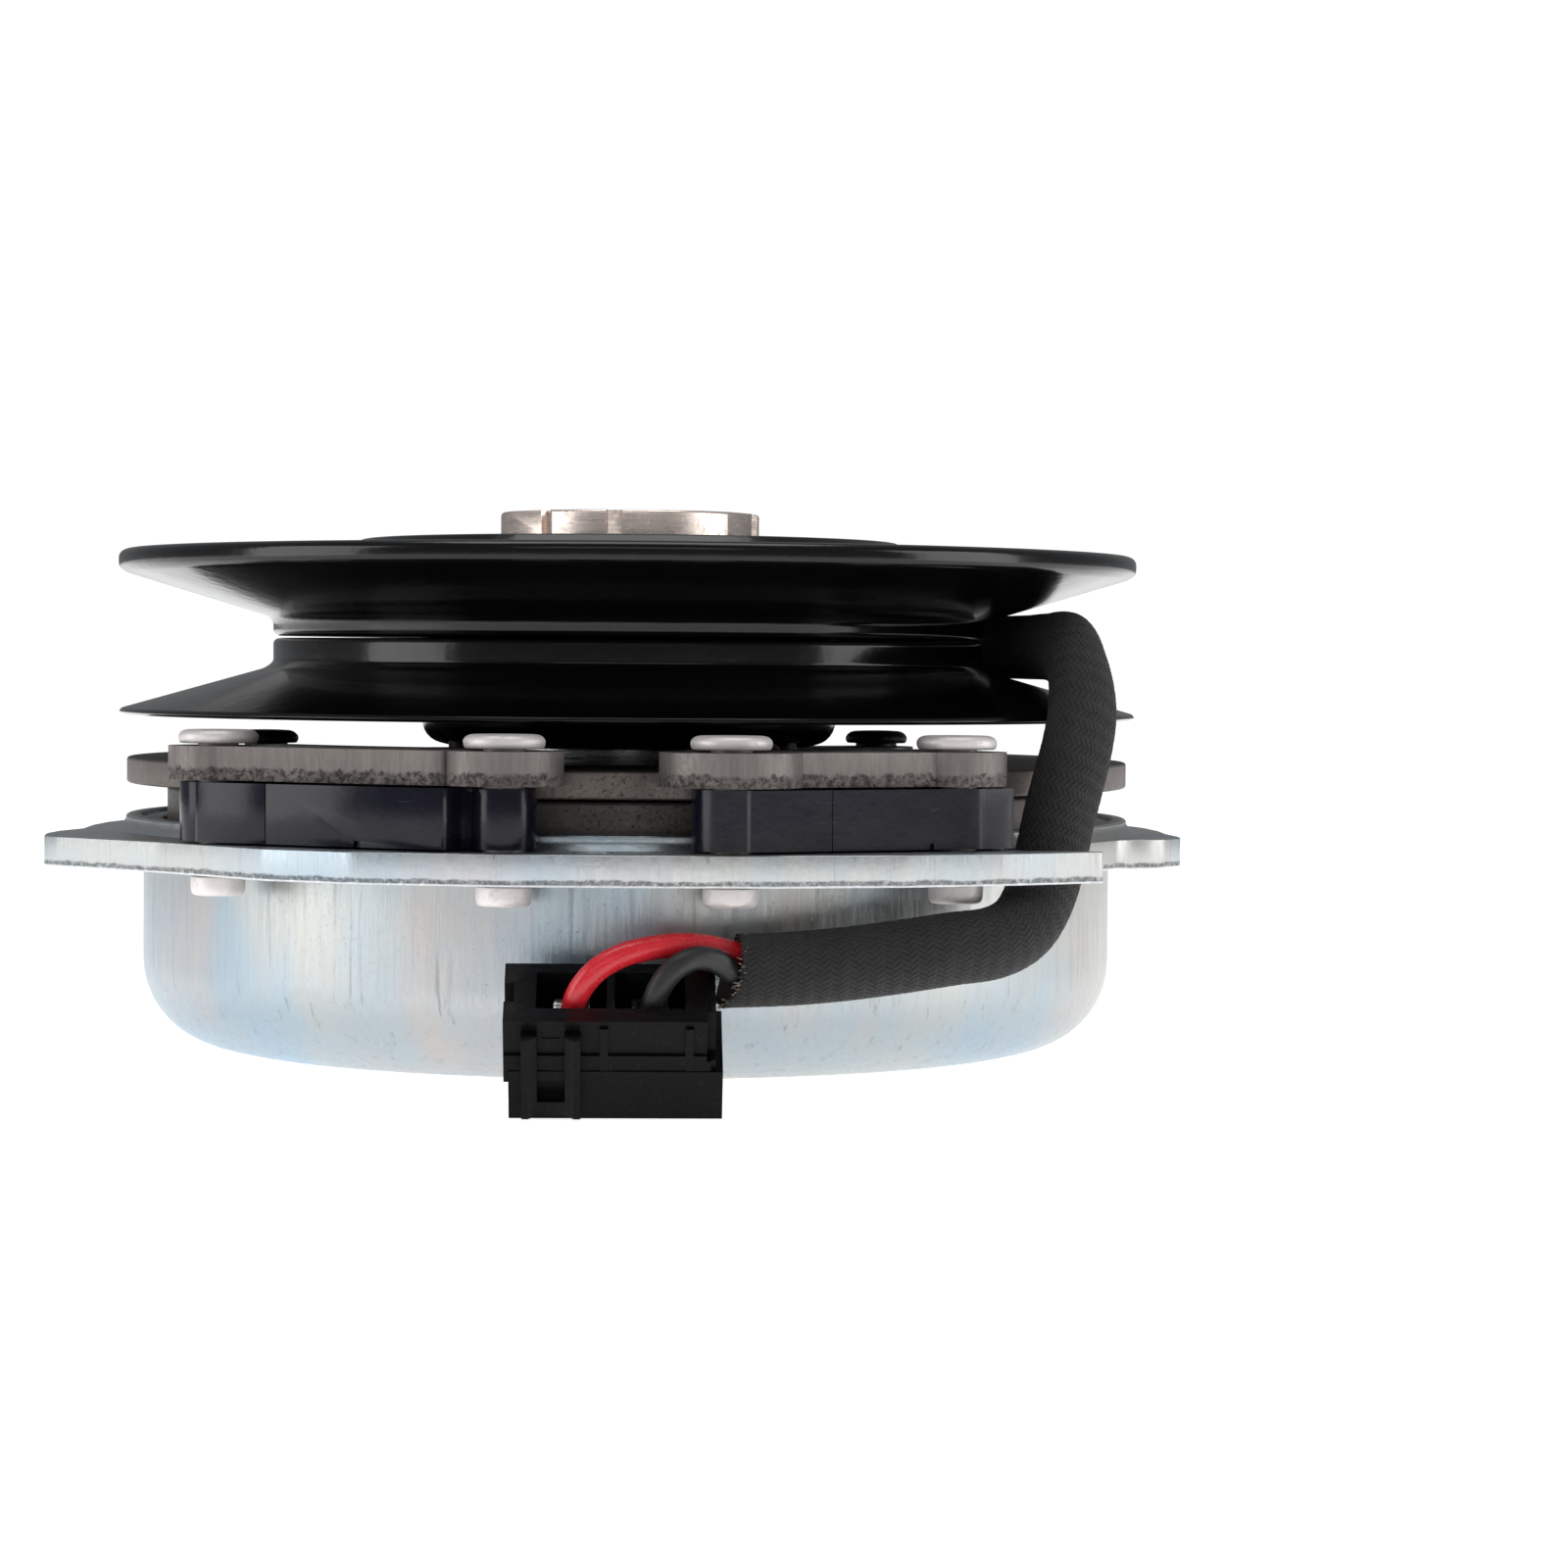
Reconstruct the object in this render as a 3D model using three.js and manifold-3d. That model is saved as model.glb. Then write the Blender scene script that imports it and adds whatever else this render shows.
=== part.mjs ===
// Electromagnetic clutch: field cup and mounting plate, rotor, V-belt pulley, armature, brake and lead.
// Millimetres, +Z up along the shaft. The origin is on the shaft axis, at the level the clutch stands on.
// The front, where the brake and the connector are, faces -Y.
import * as THREE from 'three';
import { mergeVertices } from 'three/addons/utils/BufferGeometryUtils.js';
import Module from 'manifold-3d';

const wasm = await Module();
wasm.setup();

// Driving dimensions.
const BORE_R = 12.7; // 1 in shaft
const KEY_W = 6.35;
const KEY_DEEP = 15.9; // from the axis to the bottom of the keyway
const HUB_R = 17.5;
const HUB_TOP_R = 18.25;
const HUB_BOTTOM_Z = 3.6;
const HUB_TOP_Z = 76.7;
const CUP_R = 68;
const CUP_WALL = 2.6;
const CUP_CORNER = 12;
const CUP_TOP_Z = 33.7;
const PLATE_Z0 = 28.2;
const PLATE_Z1 = 32.2;
const COLLAR_R = 70.4;
const COLLAR_Z = 34.2;
const ROTOR_R = 64.7;
const ROTOR_TOP_Z = 38.1;
const ARMATURE_R = 70.3;
const ARMATURE_BORE_R = 38;
const ARMATURE_Z0 = 38.6;
const ARMATURE_Z1 = 42.1;
const POLE_Z0 = 40.4;
const POLE_Z1 = 44.7;
const POLE_STEP_Z = 42.45; // underside of the pole plate over the armature
const HOUSING_Z0 = 32.5;
const HOUSING_Z1 = 40.1;
const FACE_V = 77.8; // flat outer face of a brake housing, from the axis
const FACE_W = 38;
const RIVET_R = 74.2; // pitch radius of the brake rivets
const PULLEY_R = 71.5;
const ROOT_R = 50.1;
const SEAM_Z = 58.9;
const BOSS_R = 29.4;
const SPRING_AZ = [44, 164, 284]; // leaf springs, from +Y towards +X
const SPRING_OUT_R = 54;
const SPRING_IN_R = 25.6;
const SLEEVE_D = 9.4;
const WIRE_D = 3;
const CONNECTOR_TILT = 30;
const CONNECTOR_W = 25.8;
const CONNECTOR_T = 12.4;
const CONNECTOR_L = 14;
const CAVITY_X = [-4.7, 4.9];

const root = new THREE.Group();
const rad = THREE.MathUtils.degToRad;

// Materials, one per finish.
const paint = (color, roughness, metalness) => ({ color, roughness, metalness });
const ZINC = paint(0xc3ccd0, 0.38, 0.9);
const BROWN_STEEL = paint(0x7a7170, 0.62, 0.75);
const BLACK_GLOSS = paint(0x0a0a0b, 0.18, 0.2);
const BLACK_STEEL = paint(0x191513, 0.5, 0.5);
const BLACK_PLASTIC = paint(0x1c1c26, 0.32, 0.0);
const NYLON = paint(0x151515, 0.45, 0.0);
const RIVET_METAL = paint(0xc9c4c2, 0.5, 0.8);
const BRIGHT_STEEL = paint(0xb8b0a8, 0.32, 1.0);
const BEARING_STEEL = paint(0x9a9a9c, 0.25, 1.0);
const SEAL_RUBBER = paint(0x20201f, 0.7, 0.0);
const COPPER = paint(0xa5562b, 0.4, 0.9);
const RESIN = paint(0x3a2f28, 0.5, 0.0);
const FERRITE = paint(0x3d3d40, 0.6, 0.3);
const SPRING_STEEL = paint(0x55565a, 0.4, 0.9);
const TIN = paint(0xcfccc4, 0.3, 1.0);
const RED = paint(0xc80f1c, 0.35, 0.0);
const BLACK_WIRE = paint(0x121212, 0.5, 0.0);
const BRAID = paint(0x141414, 0.85, 0.0);
const RUBBER = paint(0x161616, 0.75, 0.0);

// Joining and cutting.
function body(geometry) {
  const plain = geometry.clone();
  plain.deleteAttribute('normal');
  plain.deleteAttribute('uv');
  const merged = mergeVertices(plain, 1e-4);
  const vertProperties = new Float32Array(merged.attributes.position.array);
  const triVerts = new Uint32Array(merged.index.array);
  return new wasm.Manifold(new wasm.Mesh({ numProp: 3, vertProperties, triVerts }));
}

function surface(solid) {
  const mesh = solid.getMesh();
  const geometry = new THREE.BufferGeometry();
  geometry.setAttribute('position', new THREE.BufferAttribute(mesh.vertProperties, 3));
  geometry.setIndex(new THREE.BufferAttribute(mesh.triVerts, 1));
  geometry.computeVertexNormals();
  return geometry;
}

function cut(base, ...tools) {
  let solid = body(base);
  for (const tool of tools) {
    solid = solid.subtract(body(tool));
  }
  return surface(solid);
}

function join(base, ...others) {
  let solid = body(base);
  for (const other of others) {
    solid = solid.add(body(other));
  }
  return surface(solid);
}

function place(name, geometry, look, parent = root) {
  const mesh = new THREE.Mesh(geometry, new THREE.MeshStandardMaterial(look));
  mesh.name = name;
  parent.add(mesh);
  return mesh;
}

// Basic shapes. A ring's profile is a closed list of [radius, height], anticlockwise.
function ring(profile, segments = 48) {
  const points = profile.map(([r, z]) => new THREE.Vector2(r, z));
  points.push(points[0].clone());
  const geometry = new THREE.LatheGeometry(points, segments);
  geometry.rotateX(Math.PI / 2);
  return geometry;
}

// A solid of revolution whose profile starts and ends on the axis.
function turned(profile, segments = 24) {
  const points = profile.map(([r, z]) => new THREE.Vector2(r, z));
  const geometry = new THREE.LatheGeometry(points, segments);
  geometry.rotateX(Math.PI / 2);
  return geometry;
}

function slab(shape, z0, z1, curveSegments = 12) {
  const options = { depth: z1 - z0, bevelEnabled: false, curveSegments };
  const geometry = new THREE.ExtrudeGeometry(shape, options);
  geometry.translate(0, 0, z0);
  return geometry;
}

function outline(points) {
  return new THREE.Shape(points.map(([x, y]) => new THREE.Vector2(x, y)));
}

function block(x0, x1, y0, y1, z0, z1) {
  const geometry = new THREE.BoxGeometry(x1 - x0, y1 - y0, z1 - z0);
  geometry.translate((x0 + x1) / 2, (y0 + y1) / 2, (z0 + z1) / 2);
  return geometry;
}

function disc(radius, z0, z1, x = 0, y = 0, segments = 32) {
  const geometry = turned([[0, z0], [radius, z0], [radius, z1], [0, z1]], segments);
  geometry.translate(x, y, 0);
  return geometry;
}

// An arc of a flat ring, from one angle to another in degrees from +X.
function arcShape(r0, r1, from, to, steps) {
  const points = [];
  for (let i = 0; i <= steps; i += 1) {
    const a = rad(from + ((to - from) * i) / steps);
    points.push([r1 * Math.cos(a), r1 * Math.sin(a)]);
  }
  for (let i = steps; i >= 0; i -= 1) {
    const a = rad(from + ((to - from) * i) / steps);
    points.push([r0 * Math.cos(a), r0 * Math.sin(a)]);
  }
  return outline(points);
}

function quarter(cx, cz, radius, from, to, steps) {
  const points = [];
  for (let i = 0; i <= steps; i += 1) {
    const a = rad(from + ((to - from) * i) / steps);
    points.push([cx + radius * Math.cos(a), cz + radius * Math.sin(a)]);
  }
  return points;
}

// A point at a radius and an azimuth counted from +Y towards +X.
function polar(radius, azimuth) {
  return [radius * Math.sin(rad(azimuth)), radius * Math.cos(rad(azimuth))];
}

// The field: a deep-drawn cup with the pole tube, coil, potting and lower bearing in it.
function fieldCup() {
  const cx = CUP_R - CUP_CORNER;
  const cz = 2.2 + CUP_CORNER;
  const profile = [
    [24, 0],
    [36.5, 0],
    [40.5, 2.2],
    ...quarter(cx, cz, CUP_CORNER, -90, 0, 5),
    [CUP_R, CUP_TOP_Z],
    [CUP_R - CUP_WALL, CUP_TOP_Z],
    ...quarter(cx, cz, CUP_CORNER - CUP_WALL, 0, -90, 4),
    [39.6, 4.8],
    [35.6, 2.6],
    [24, 2.6],
  ];
  place('field_cup', ring(profile), ZINC);
}

function polePiece() {
  const profile = [
    [26.5, 2.9],
    [35.2, 2.9],
    [35.2, 32.2],
    [31.3, 32.2],
    [31.3, 23.9],
    [32.4, 23.9],
    [32.4, 22],
    [31.3, 22],
    [31.3, 7.4],
    [26.5, 7.4],
  ];
  place('inner_pole', ring(profile, 36), BROWN_STEEL);
}

function coil() {
  const bobbin = [
    [35.6, 6.5],
    [60, 6.5],
    [60, 8],
    [37.2, 8],
    [37.2, 28],
    [60, 28],
    [60, 29.5],
    [35.6, 29.5],
  ];
  place('coil_bobbin', ring(bobbin, 32), NYLON);
  place('coil_winding', ring([[37.5, 8.3], [58.6, 8.3], [58.6, 27.7], [37.5, 27.7]], 32), COPPER);
  const cx = CUP_R - CUP_CORNER;
  const cz = 2.2 + CUP_CORNER;
  const potting = [
    ...quarter(cx, cz, CUP_CORNER - CUP_WALL - 0.7, -59, 0, 3),
    [65.05, 24.3],
    [60.4, 24.3],
  ];
  place('coil_potting', ring(potting, 36), RESIN);
}

// A sealed ball bearing as its outer ring, inner ring and the seals over the balls.
function bearing(prefix, z0, z1, outer, middle) {
  const c = 0.5;
  const inner = HUB_R + 0.3;
  const outerRing = [
    [middle[1], z0],
    [outer - c, z0],
    [outer, z0 + c],
    [outer, z1 - c],
    [outer - c, z1],
    [middle[1], z1],
  ];
  const innerRing = [
    [inner, z0 + c],
    [inner + c, z0],
    [middle[0], z0],
    [middle[0], z1],
    [inner + c, z1],
    [inner, z1 - c],
  ];
  const seal = [
    [middle[0] + 0.3, z0 + 0.6],
    [middle[1] - 0.3, z0 + 0.6],
    [middle[1] - 0.3, z1 - 0.6],
    [middle[0] + 0.3, z1 - 0.6],
  ];
  place(prefix + '_outer_ring', ring(outerRing, 36), BEARING_STEEL);
  place(prefix + '_inner_ring', ring(innerRing, 32), BEARING_STEEL);
  place(prefix + '_seal', ring(seal, 32), SEAL_RUBBER);
}

function snapRings() {
  const inside = slab(arcShape(28.4, 32.1, 20, 340, 24), 22.2, 23.7);
  place('bearing_circlip', inside, SPRING_STEEL);
  const outside = slab(arcShape(16.6, 20.4, 110, 430, 24), 5.9, 7.3);
  place('hub_snap_ring', outside, SPRING_STEEL);
}

// The mounting plate: a pressing with a raised collar round the cup, ears and the lead notch.
function plateOutline() {
  const front = [
    [-78.2, -27.5],
    [-77.5, -34.8],
    [-75.4, -37.4],
    [-60.5, -51.5],
    [-45.5, -69],
    [-34, -76],
    [-17, -80.2],
    [0, -81],
    [18, -80.4],
    [34, -77],
    [47, -71.5],
    [58.6, -65],
    [60.6, -64],
    [59.4, -63],
    [50.4, -63.2],
    [47.7, -60.8],
    [48.2, -52.8],
    [50.2, -51.6],
    [54.4, -47.2],
    [60.2, -39.8],
    [64.4, -32.6],
    [66.2, -29.6],
    [68, -28.6],
    [70.6, -28],
    [72.8, -26.8],
    [75.8, -22.2],
    [76, -18],
  ];
  const points = [...front, [75.4, -10]];
  for (let a = 0; a <= 48; a += 8) {
    points.push([75.6 * Math.cos(rad(a)), 75.6 * Math.sin(rad(a))]);
  }
  for (let a = 58; a <= 122; a += 8) {
    points.push([81 * Math.cos(rad(a)), Math.min(81, 81.0 * Math.sin(rad(a)))]);
  }
  for (let a = 132; a <= 180; a += 8) {
    points.push([75.6 * Math.cos(rad(a)), 75.6 * Math.sin(rad(a))]);
  }
  points.push([-75.4, -12], [-77.6, -20]);
  return outline(points);
}

function unitRivets(unit) {
  return unit.rivets.map((azimuth) => polar(RIVET_R, azimuth));
}

const UNITS = [
  { side: 'left', face: 210.3, rivets: [225.3, 192], bosses: [4.9, 4.1], lobes: [6.4, 7.4] },
  { side: 'right', face: 155.6, rivets: [170.1, 145.8], bosses: [5, 5], lobes: [9, 6.4] },
];
const SPARE_HOLES = [[-4.4, -74.6], [-8.5, 75], [8.5, 75]];

function mountingPlate() {
  let solid = body(slab(plateOutline(), PLATE_Z0, PLATE_Z1));
  const fillet = 1.1;
  const collar = [
    [CUP_R - 1, PLATE_Z0 + 1],
    [COLLAR_R + 0.2, PLATE_Z0 + 1],
    [COLLAR_R + fillet, PLATE_Z1],
    [COLLAR_R + 0.3, PLATE_Z1 + 0.35],
    [COLLAR_R, PLATE_Z1 + fillet],
    [COLLAR_R, COLLAR_Z - 0.5],
    [COLLAR_R - 0.5, COLLAR_Z],
    [CUP_R - 1, COLLAR_Z],
  ];
  solid = solid.add(body(ring(collar)));
  solid = solid.subtract(body(disc(CUP_R + 0.4, 20, 40, 0, 0, 72)));
  for (const unit of UNITS) {
    for (const [x, y] of unitRivets(unit)) {
      solid = solid.subtract(body(disc(2.95, 20, 40, x, y, 14)));
    }
  }
  for (const [x, y] of SPARE_HOLES) {
    solid = solid.subtract(body(disc(2.7, 20, 40, x, y, 14)));
  }
  // The lead rises through a slot in the rear edge.
  const [leadX, leadY] = SLEEVE_ROUTE[0];
  solid = solid.subtract(body(disc(5.6, 20, 40, leadX, leadY, 24)));
  solid = solid.subtract(body(block(leadX - 5.6, leadX + 5.6, leadY, leadY + 12, 20, 40)));
  place('mounting_plate', surface(solid), ZINC);
}

// One brake unit: plastic housing, magnet, steel pole plate and two rivets.
// Its own frame has X along the flat face and Y from the clutch axis towards the face.
function brakeUnit(unit) {
  const frame = new THREE.Group();
  frame.rotation.z = rad(-unit.face);
  root.add(frame);
  const local = unitRivets(unit).map(([x, y]) => {
    const a = rad(unit.face);
    return [x * Math.cos(a) - y * Math.sin(a), x * Math.sin(a) + y * Math.cos(a)];
  });
  const half = FACE_W / 2;
  const r = 1.2;

  const side = new THREE.Shape();
  side.moveTo(-half, 62);
  side.lineTo(half, 62);
  side.lineTo(half, FACE_V - r);
  side.lineTo(half - r, FACE_V);
  side.lineTo(-half + r, FACE_V);
  side.lineTo(-half, FACE_V - r);
  let housing = body(slab(side, HOUSING_Z0, HOUSING_Z1));
  for (const [index, [x, y]] of local.entries()) {
    housing = housing.add(body(disc(unit.bosses[index], HOUSING_Z0, HOUSING_Z1, x, y, 18)));
    const inward = x - Math.sign(x) * 6;
    const web = block(Math.min(x, inward), Math.max(x, inward), y - 3, y + 3, HOUSING_Z0, HOUSING_Z1);
    housing = housing.add(body(web));
  }
  housing = housing.subtract(body(disc(ARMATURE_R + 0.6, 38, 50, 0, 0, 72)));
  housing = housing.subtract(body(disc(COLLAR_R + 1.5, 20, 34.6, 0, 0, 72)));
  housing = housing.subtract(body(disc(ROTOR_R + 0.8, 20, 50, 0, 0, 72)));
  housing = housing.subtract(body(block(-8.3, 8.3, 72.2, 76.2, 34, 50)));
  for (const [x, y] of local) {
    housing = housing.subtract(body(disc(2.95, 20, 50, x, y, 14)));
  }
  housing = housing.subtract(body(block(-6.9, -5.9, FACE_V - 0.5, 80, 20, HOUSING_Z0 + 0.8)));
  place('brake_housing_' + unit.side, surface(housing), BLACK_PLASTIC, frame);

  const magnet = block(-8, 8, 72.5, 75.9, 34.3, 40.05);
  place('brake_magnet_' + unit.side, magnet, FERRITE, frame);

  const top = new THREE.Shape();
  const f = FACE_V - 0.8;
  top.moveTo(-half + 0.6, 58);
  top.lineTo(half - 0.6, 58);
  top.lineTo(half - 0.6, f - 1.6);
  top.lineTo(half - 1.1, f - 0.5);
  top.lineTo(half - 2.2, f);
  top.lineTo(-half + 2.2, f);
  top.lineTo(-half + 1.1, f - 0.5);
  top.lineTo(-half + 0.6, f - 1.6);
  let pole = body(slab(top, POLE_Z0, POLE_Z1));
  for (const [index, [x, y]] of local.entries()) {
    pole = pole.add(body(disc(unit.lobes[index], POLE_Z0, POLE_Z1, x, y, 24)));
  }
  pole = pole.subtract(body(disc(60.5, 20, 60, 0, 0, 72)));
  pole = pole.subtract(body(disc(ARMATURE_R + 0.45, 20, POLE_STEP_Z, 0, 0, 72)));
  for (const [x, y] of local) {
    pole = pole.subtract(body(disc(2.95, 20, 60, x, y, 14)));
  }
  place('brake_pole_' + unit.side, surface(pole), BROWN_STEEL, frame);

  for (const [index, [x, y]] of local.entries()) {
    const rivet = turned([
      [0, 25.4],
      [2.8, 25.4],
      [3.5, 26],
      [3.5, 27.9],
      [2.6, 27.9],
      [2.6, 45],
      [4.6, 45],
      [5.1, 45.5],
      [5.1, 46.2],
      [4.6, 46.75],
      [0, 46.75],
    ], 16);
    const mesh = place('brake_rivet_' + unit.side + '_' + (index + 1), rivet, RIVET_METAL, frame);
    mesh.position.set(x, y, 0);
  }
}

// The rotor: a friction disc with two rings of flux slots, on the keyed hub.
function rotorDisc() {
  const profile = [
    [HUB_R + 0.3, 22.1],
    [24, 22.1],
    [24, 33],
    [61.6, 33],
    [61.6, 25],
    [ROTOR_R, 25],
    [ROTOR_R, ROTOR_TOP_Z - 0.4],
    [ROTOR_R - 0.4, ROTOR_TOP_Z],
    [HUB_R + 0.3, ROTOR_TOP_Z],
  ];
  let solid = body(ring(profile));
  for (let i = 0; i < 6; i += 1) {
    const outer = arcShape(55.4, 57.8, 60 * i + 6, 60 * i + 54, 5);
    const inner = arcShape(42, 44.4, 60 * i + 36, 60 * i + 84, 4);
    solid = solid.subtract(body(slab(outer, 30, 40)));
    solid = solid.subtract(body(slab(inner, 30, 40)));
  }
  place('rotor_disc', surface(solid), BROWN_STEEL);
}

function rotorHub() {
  let solid = body(turned([
    [0, HUB_BOTTOM_Z],
    [HUB_R - 0.6, HUB_BOTTOM_Z],
    [HUB_R, HUB_BOTTOM_Z + 0.6],
    [HUB_R, 5.7],
    [16.3, 5.7],
    [16.3, 7.5],
    [HUB_R, 7.5],
    [HUB_R, 70.5],
    [HUB_TOP_R, 70.5],
    [HUB_TOP_R, HUB_TOP_Z - 0.5],
    [HUB_TOP_R - 0.5, HUB_TOP_Z],
    [0, HUB_TOP_Z],
  ], 48));
  solid = solid.subtract(body(disc(BORE_R, 0, 80, 0, 0, 32)));
  solid = solid.subtract(body(block(-KEY_W / 2, KEY_W / 2, 0, KEY_DEEP, 0, 80)));
  // Wrench flats, with a narrow dog notch at the end of each.
  for (let i = 0; i < 3; i += 1) {
    const a = rad(186 + 120 * i);
    const flat = block(17.35, 22, -13, 13, 73.4, 80);
    flat.rotateZ(a - Math.PI / 2 + rad(0));
    solid = solid.subtract(body(flat));
    const notch = block(16.3, 22, -1, 1, 73.4, 80);
    notch.rotateZ(a - Math.PI / 2 + rad(13));
    solid = solid.subtract(body(notch));
    const second = block(16.3, 22, -1.1, 1.1, 73.4, 80);
    second.rotateZ(a - Math.PI / 2 + rad(47));
    solid = solid.subtract(body(second));
  }
  place('rotor_hub', surface(solid), BRIGHT_STEEL);
}

function hubSpacer() {
  const r = HUB_R + 0.3;
  place('hub_spacer', ring([[r, 38.4], [21, 38.4], [21, 49.7], [r, 49.7]], 32), BEARING_STEEL);
}

// The pulley: two pressed halves welded at the groove root, on a turned bearing housing.
function pulley() {
  const upper = [
    [43.4, SEAM_Z + 0.15],
    [49.5, SEAM_Z + 0.15],
    [ROOT_R, SEAM_Z + 0.75],
    [ROOT_R, 61.1],
    [50.8, 61.8],
    [71, 67.9],
    [PULLEY_R, 68.3],
    [PULLEY_R, 70.3],
    [71.1, 70.9],
    [70.3, 71.1],
    [69.4, 70.9],
    [49.7, 64.8],
    [47.9, 63.6],
    [46.6, 61.8],
    [45.2, 61.8],
    [39.4, 71.6],
    [37.6, 72.8],
    [20.8, 72.8],
    [20.8, 70.5],
    [36.8, 70.5],
  ];
  place('pulley_half_upper', ring(upper), BLACK_GLOSS);
  const lower = [
    [BOSS_R + 0.3, 56.1],
    [45.6, 56.1],
    [47.2, 55.3],
    [47.9, 53.3],
    [49.6, 52.3],
    [70.6, 48],
    [71.4, 48.1],
    [PULLEY_R, 48.5],
    [71.1, 48.9],
    [50.8, 54.7],
    [ROOT_R, 55.4],
    [ROOT_R, 58.1],
    [49.5, SEAM_Z - 0.15],
    [BOSS_R + 0.3, SEAM_Z - 0.15],
  ];
  place('pulley_half_lower', ring(lower), BLACK_GLOSS);
  const boss = [
    [22.5, 43.8],
    [25.8, 43.8],
    [28.3, 44.8],
    [BOSS_R, 47.2],
    [BOSS_R, SEAM_Z + 0.15],
    [41, SEAM_Z + 0.15],
    [41, 61.4],
    [29.8, 61.4],
    [29.8, 69.9],
    [27.8, 69.9],
    [27.8, 49.8],
    [22.5, 49.8],
  ];
  let solid = body(ring(boss, 40));
  for (const azimuth of SPRING_AZ) {
    const [x, y] = polar(SPRING_IN_R, azimuth - 40);
    solid = solid.subtract(body(disc(2.3, 40, 48.2, x, y, 16)));
  }
  place('pulley_bearing_housing', surface(solid), BLACK_GLOSS);
}

// The armature: a plain steel ring hung on three leaf springs under the pulley.
function armature() {
  const c = 0.35;
  let solid = body(ring([
    [ARMATURE_BORE_R, ARMATURE_Z0],
    [ARMATURE_R - c, ARMATURE_Z0],
    [ARMATURE_R, ARMATURE_Z0 + c],
    [ARMATURE_R, ARMATURE_Z1 - c],
    [ARMATURE_R - c, ARMATURE_Z1],
    [ARMATURE_BORE_R, ARMATURE_Z1],
  ]));
  for (const azimuth of SPRING_AZ) {
    const [x, y] = polar(SPRING_OUT_R, azimuth);
    solid = solid.subtract(body(disc(3.5, 30, 50, x, y, 14)));
  }
  place('armature_disc', surface(solid), BROWN_STEEL);
}

function leafSprings() {
  for (const [index, azimuth] of SPRING_AZ.entries()) {
    const [x1, y1] = polar(SPRING_OUT_R, azimuth);
    const [x0, y0] = polar(SPRING_IN_R, azimuth - 40);
    const dx = x1 - x0;
    const dy = y1 - y0;
    const span = Math.hypot(dx, dy);
    const strip = new THREE.Shape();
    strip.absarc(0, 0, 4.3, Math.PI / 2, (3 * Math.PI) / 2, false);
    strip.absarc(span, 0, 5.6, -Math.PI / 2, Math.PI / 2, false);
    const thick = slab(strip, 42.65, 43.2, 8);
    const spring = cut(thick, disc(2.3, 40, 50, 0, 0, 12), disc(3.5, 40, 50, span, 0, 14));
    const leaf = place('leaf_spring_' + (index + 1), spring, SPRING_STEEL);
    leaf.position.set(x0, y0, 0);
    leaf.rotation.z = Math.atan2(dy, dx);

    const outer = turned([
      [0, 38.75],
      [3.1, 38.75],
      [3.1, 43.7],
      [4.3, 43.7],
      [4.7, 44.1],
      [4.7, 44.8],
      [4, 45.4],
      [0, 45.6],
    ], 16);
    place('armature_rivet_' + (index + 1), outer, BLACK_STEEL).position.set(x1, y1, 0);
    const inner = turned([
      [0, 41.4],
      [2.9, 41.5],
      [3.5, 41.9],
      [3.5, 42.35],
      [2, 42.35],
      [2, 47.8],
      [0, 47.8],
    ], 12);
    place('spring_rivet_' + (index + 1), inner, BLACK_STEEL).position.set(x0, y0, 0);
  }
}

// The lead: a braided sleeve laid in the belt groove, then two wires into a two-way connector.
function tube(points, diameter, sides, steps) {
  const path = new THREE.CatmullRomCurve3(points.map((p) => new THREE.Vector3(...p)), false, 'centripetal');
  const circle = new THREE.Shape();
  circle.absarc(0, 0, diameter / 2, 0, Math.PI * 2, false);
  const options = { steps, extrudePath: path, bevelEnabled: false, curveSegments: sides / 2 };
  return new THREE.ExtrudeGeometry(circle, options);
}

const SLEEVE_ROUTE = [
  [19.9, 74.4, 28.3],
  [20, 74.7, 34],
  [20.2, 74.8, 40],
  [21.6, 74.3, 46],
  [24.7, 71.9, 51.4],
  [29.3, 67.3, 55.3],
  [34.4, 60.8, 57.6],
  [39.8, 52.9, 58.3],
  [45.6, 43.2, 58.3],
  [50.9, 31.8, 58.3],
  [55.1, 19, 58.3],
  [57.3, 6, 58.3],
  [57.5, -6, 58.3],
  [57.9, -17.7, 58.3],
  [58.4, -28.5, 58.1],
  [58.8, -35.3, 57.5],
  [59.1, -40.6, 56.1],
  [59.3, -45, 53.4],
  [59.1, -48.6, 49.6],
  [58.1, -51, 44.8],
  [56.8, -52.5, 40.2],
  [55.6, -53.7, 35.8],
  [54.5, -55.3, 31.2],
  [52.9, -58, 26.4],
  [50.2, -62.2, 22.6],
  [46.2, -66.5, 20.8],
  [40.5, -70.2, 20.2],
  [33.6, -72.6, 19.3],
  [26.5, -74.4, 18.5],
  [19.6, -75.8, 18],
  [13.2, -76.6, 17.8],
];
const RED_ROUTE = [
  [22, -74.4, 19.4],
  [17.4, -75.2, 19.4],
  [13.2, -76.2, 20],
  [9.8, -77.3, 20.8],
  [6.4, -78.6, 21.1],
  [2.8, -80.3, 20.8],
  [-0.7, -82, 20],
  [-3.8, -83, 18.2],
  [-6, -82.8, 15.4],
  [-6.8, -81.4, 12.1],
  [-6.8, -80.2, 10],
  [-6.8, -79, 7.9],
];
const BLACK_ROUTE = [
  [22, -76.4, 16.6],
  [17.4, -77.2, 16.5],
  [13.4, -78.5, 17.5],
  [10.7, -80.1, 19.3],
  [8.1, -81.5, 19.6],
  [5.6, -82.7, 18.3],
  [3.7, -82.9, 15.7],
  [2.9, -81.8, 12.7],
  [2.8, -80.5, 10.4],
  [2.8, -79.1, 8],
];

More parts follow.
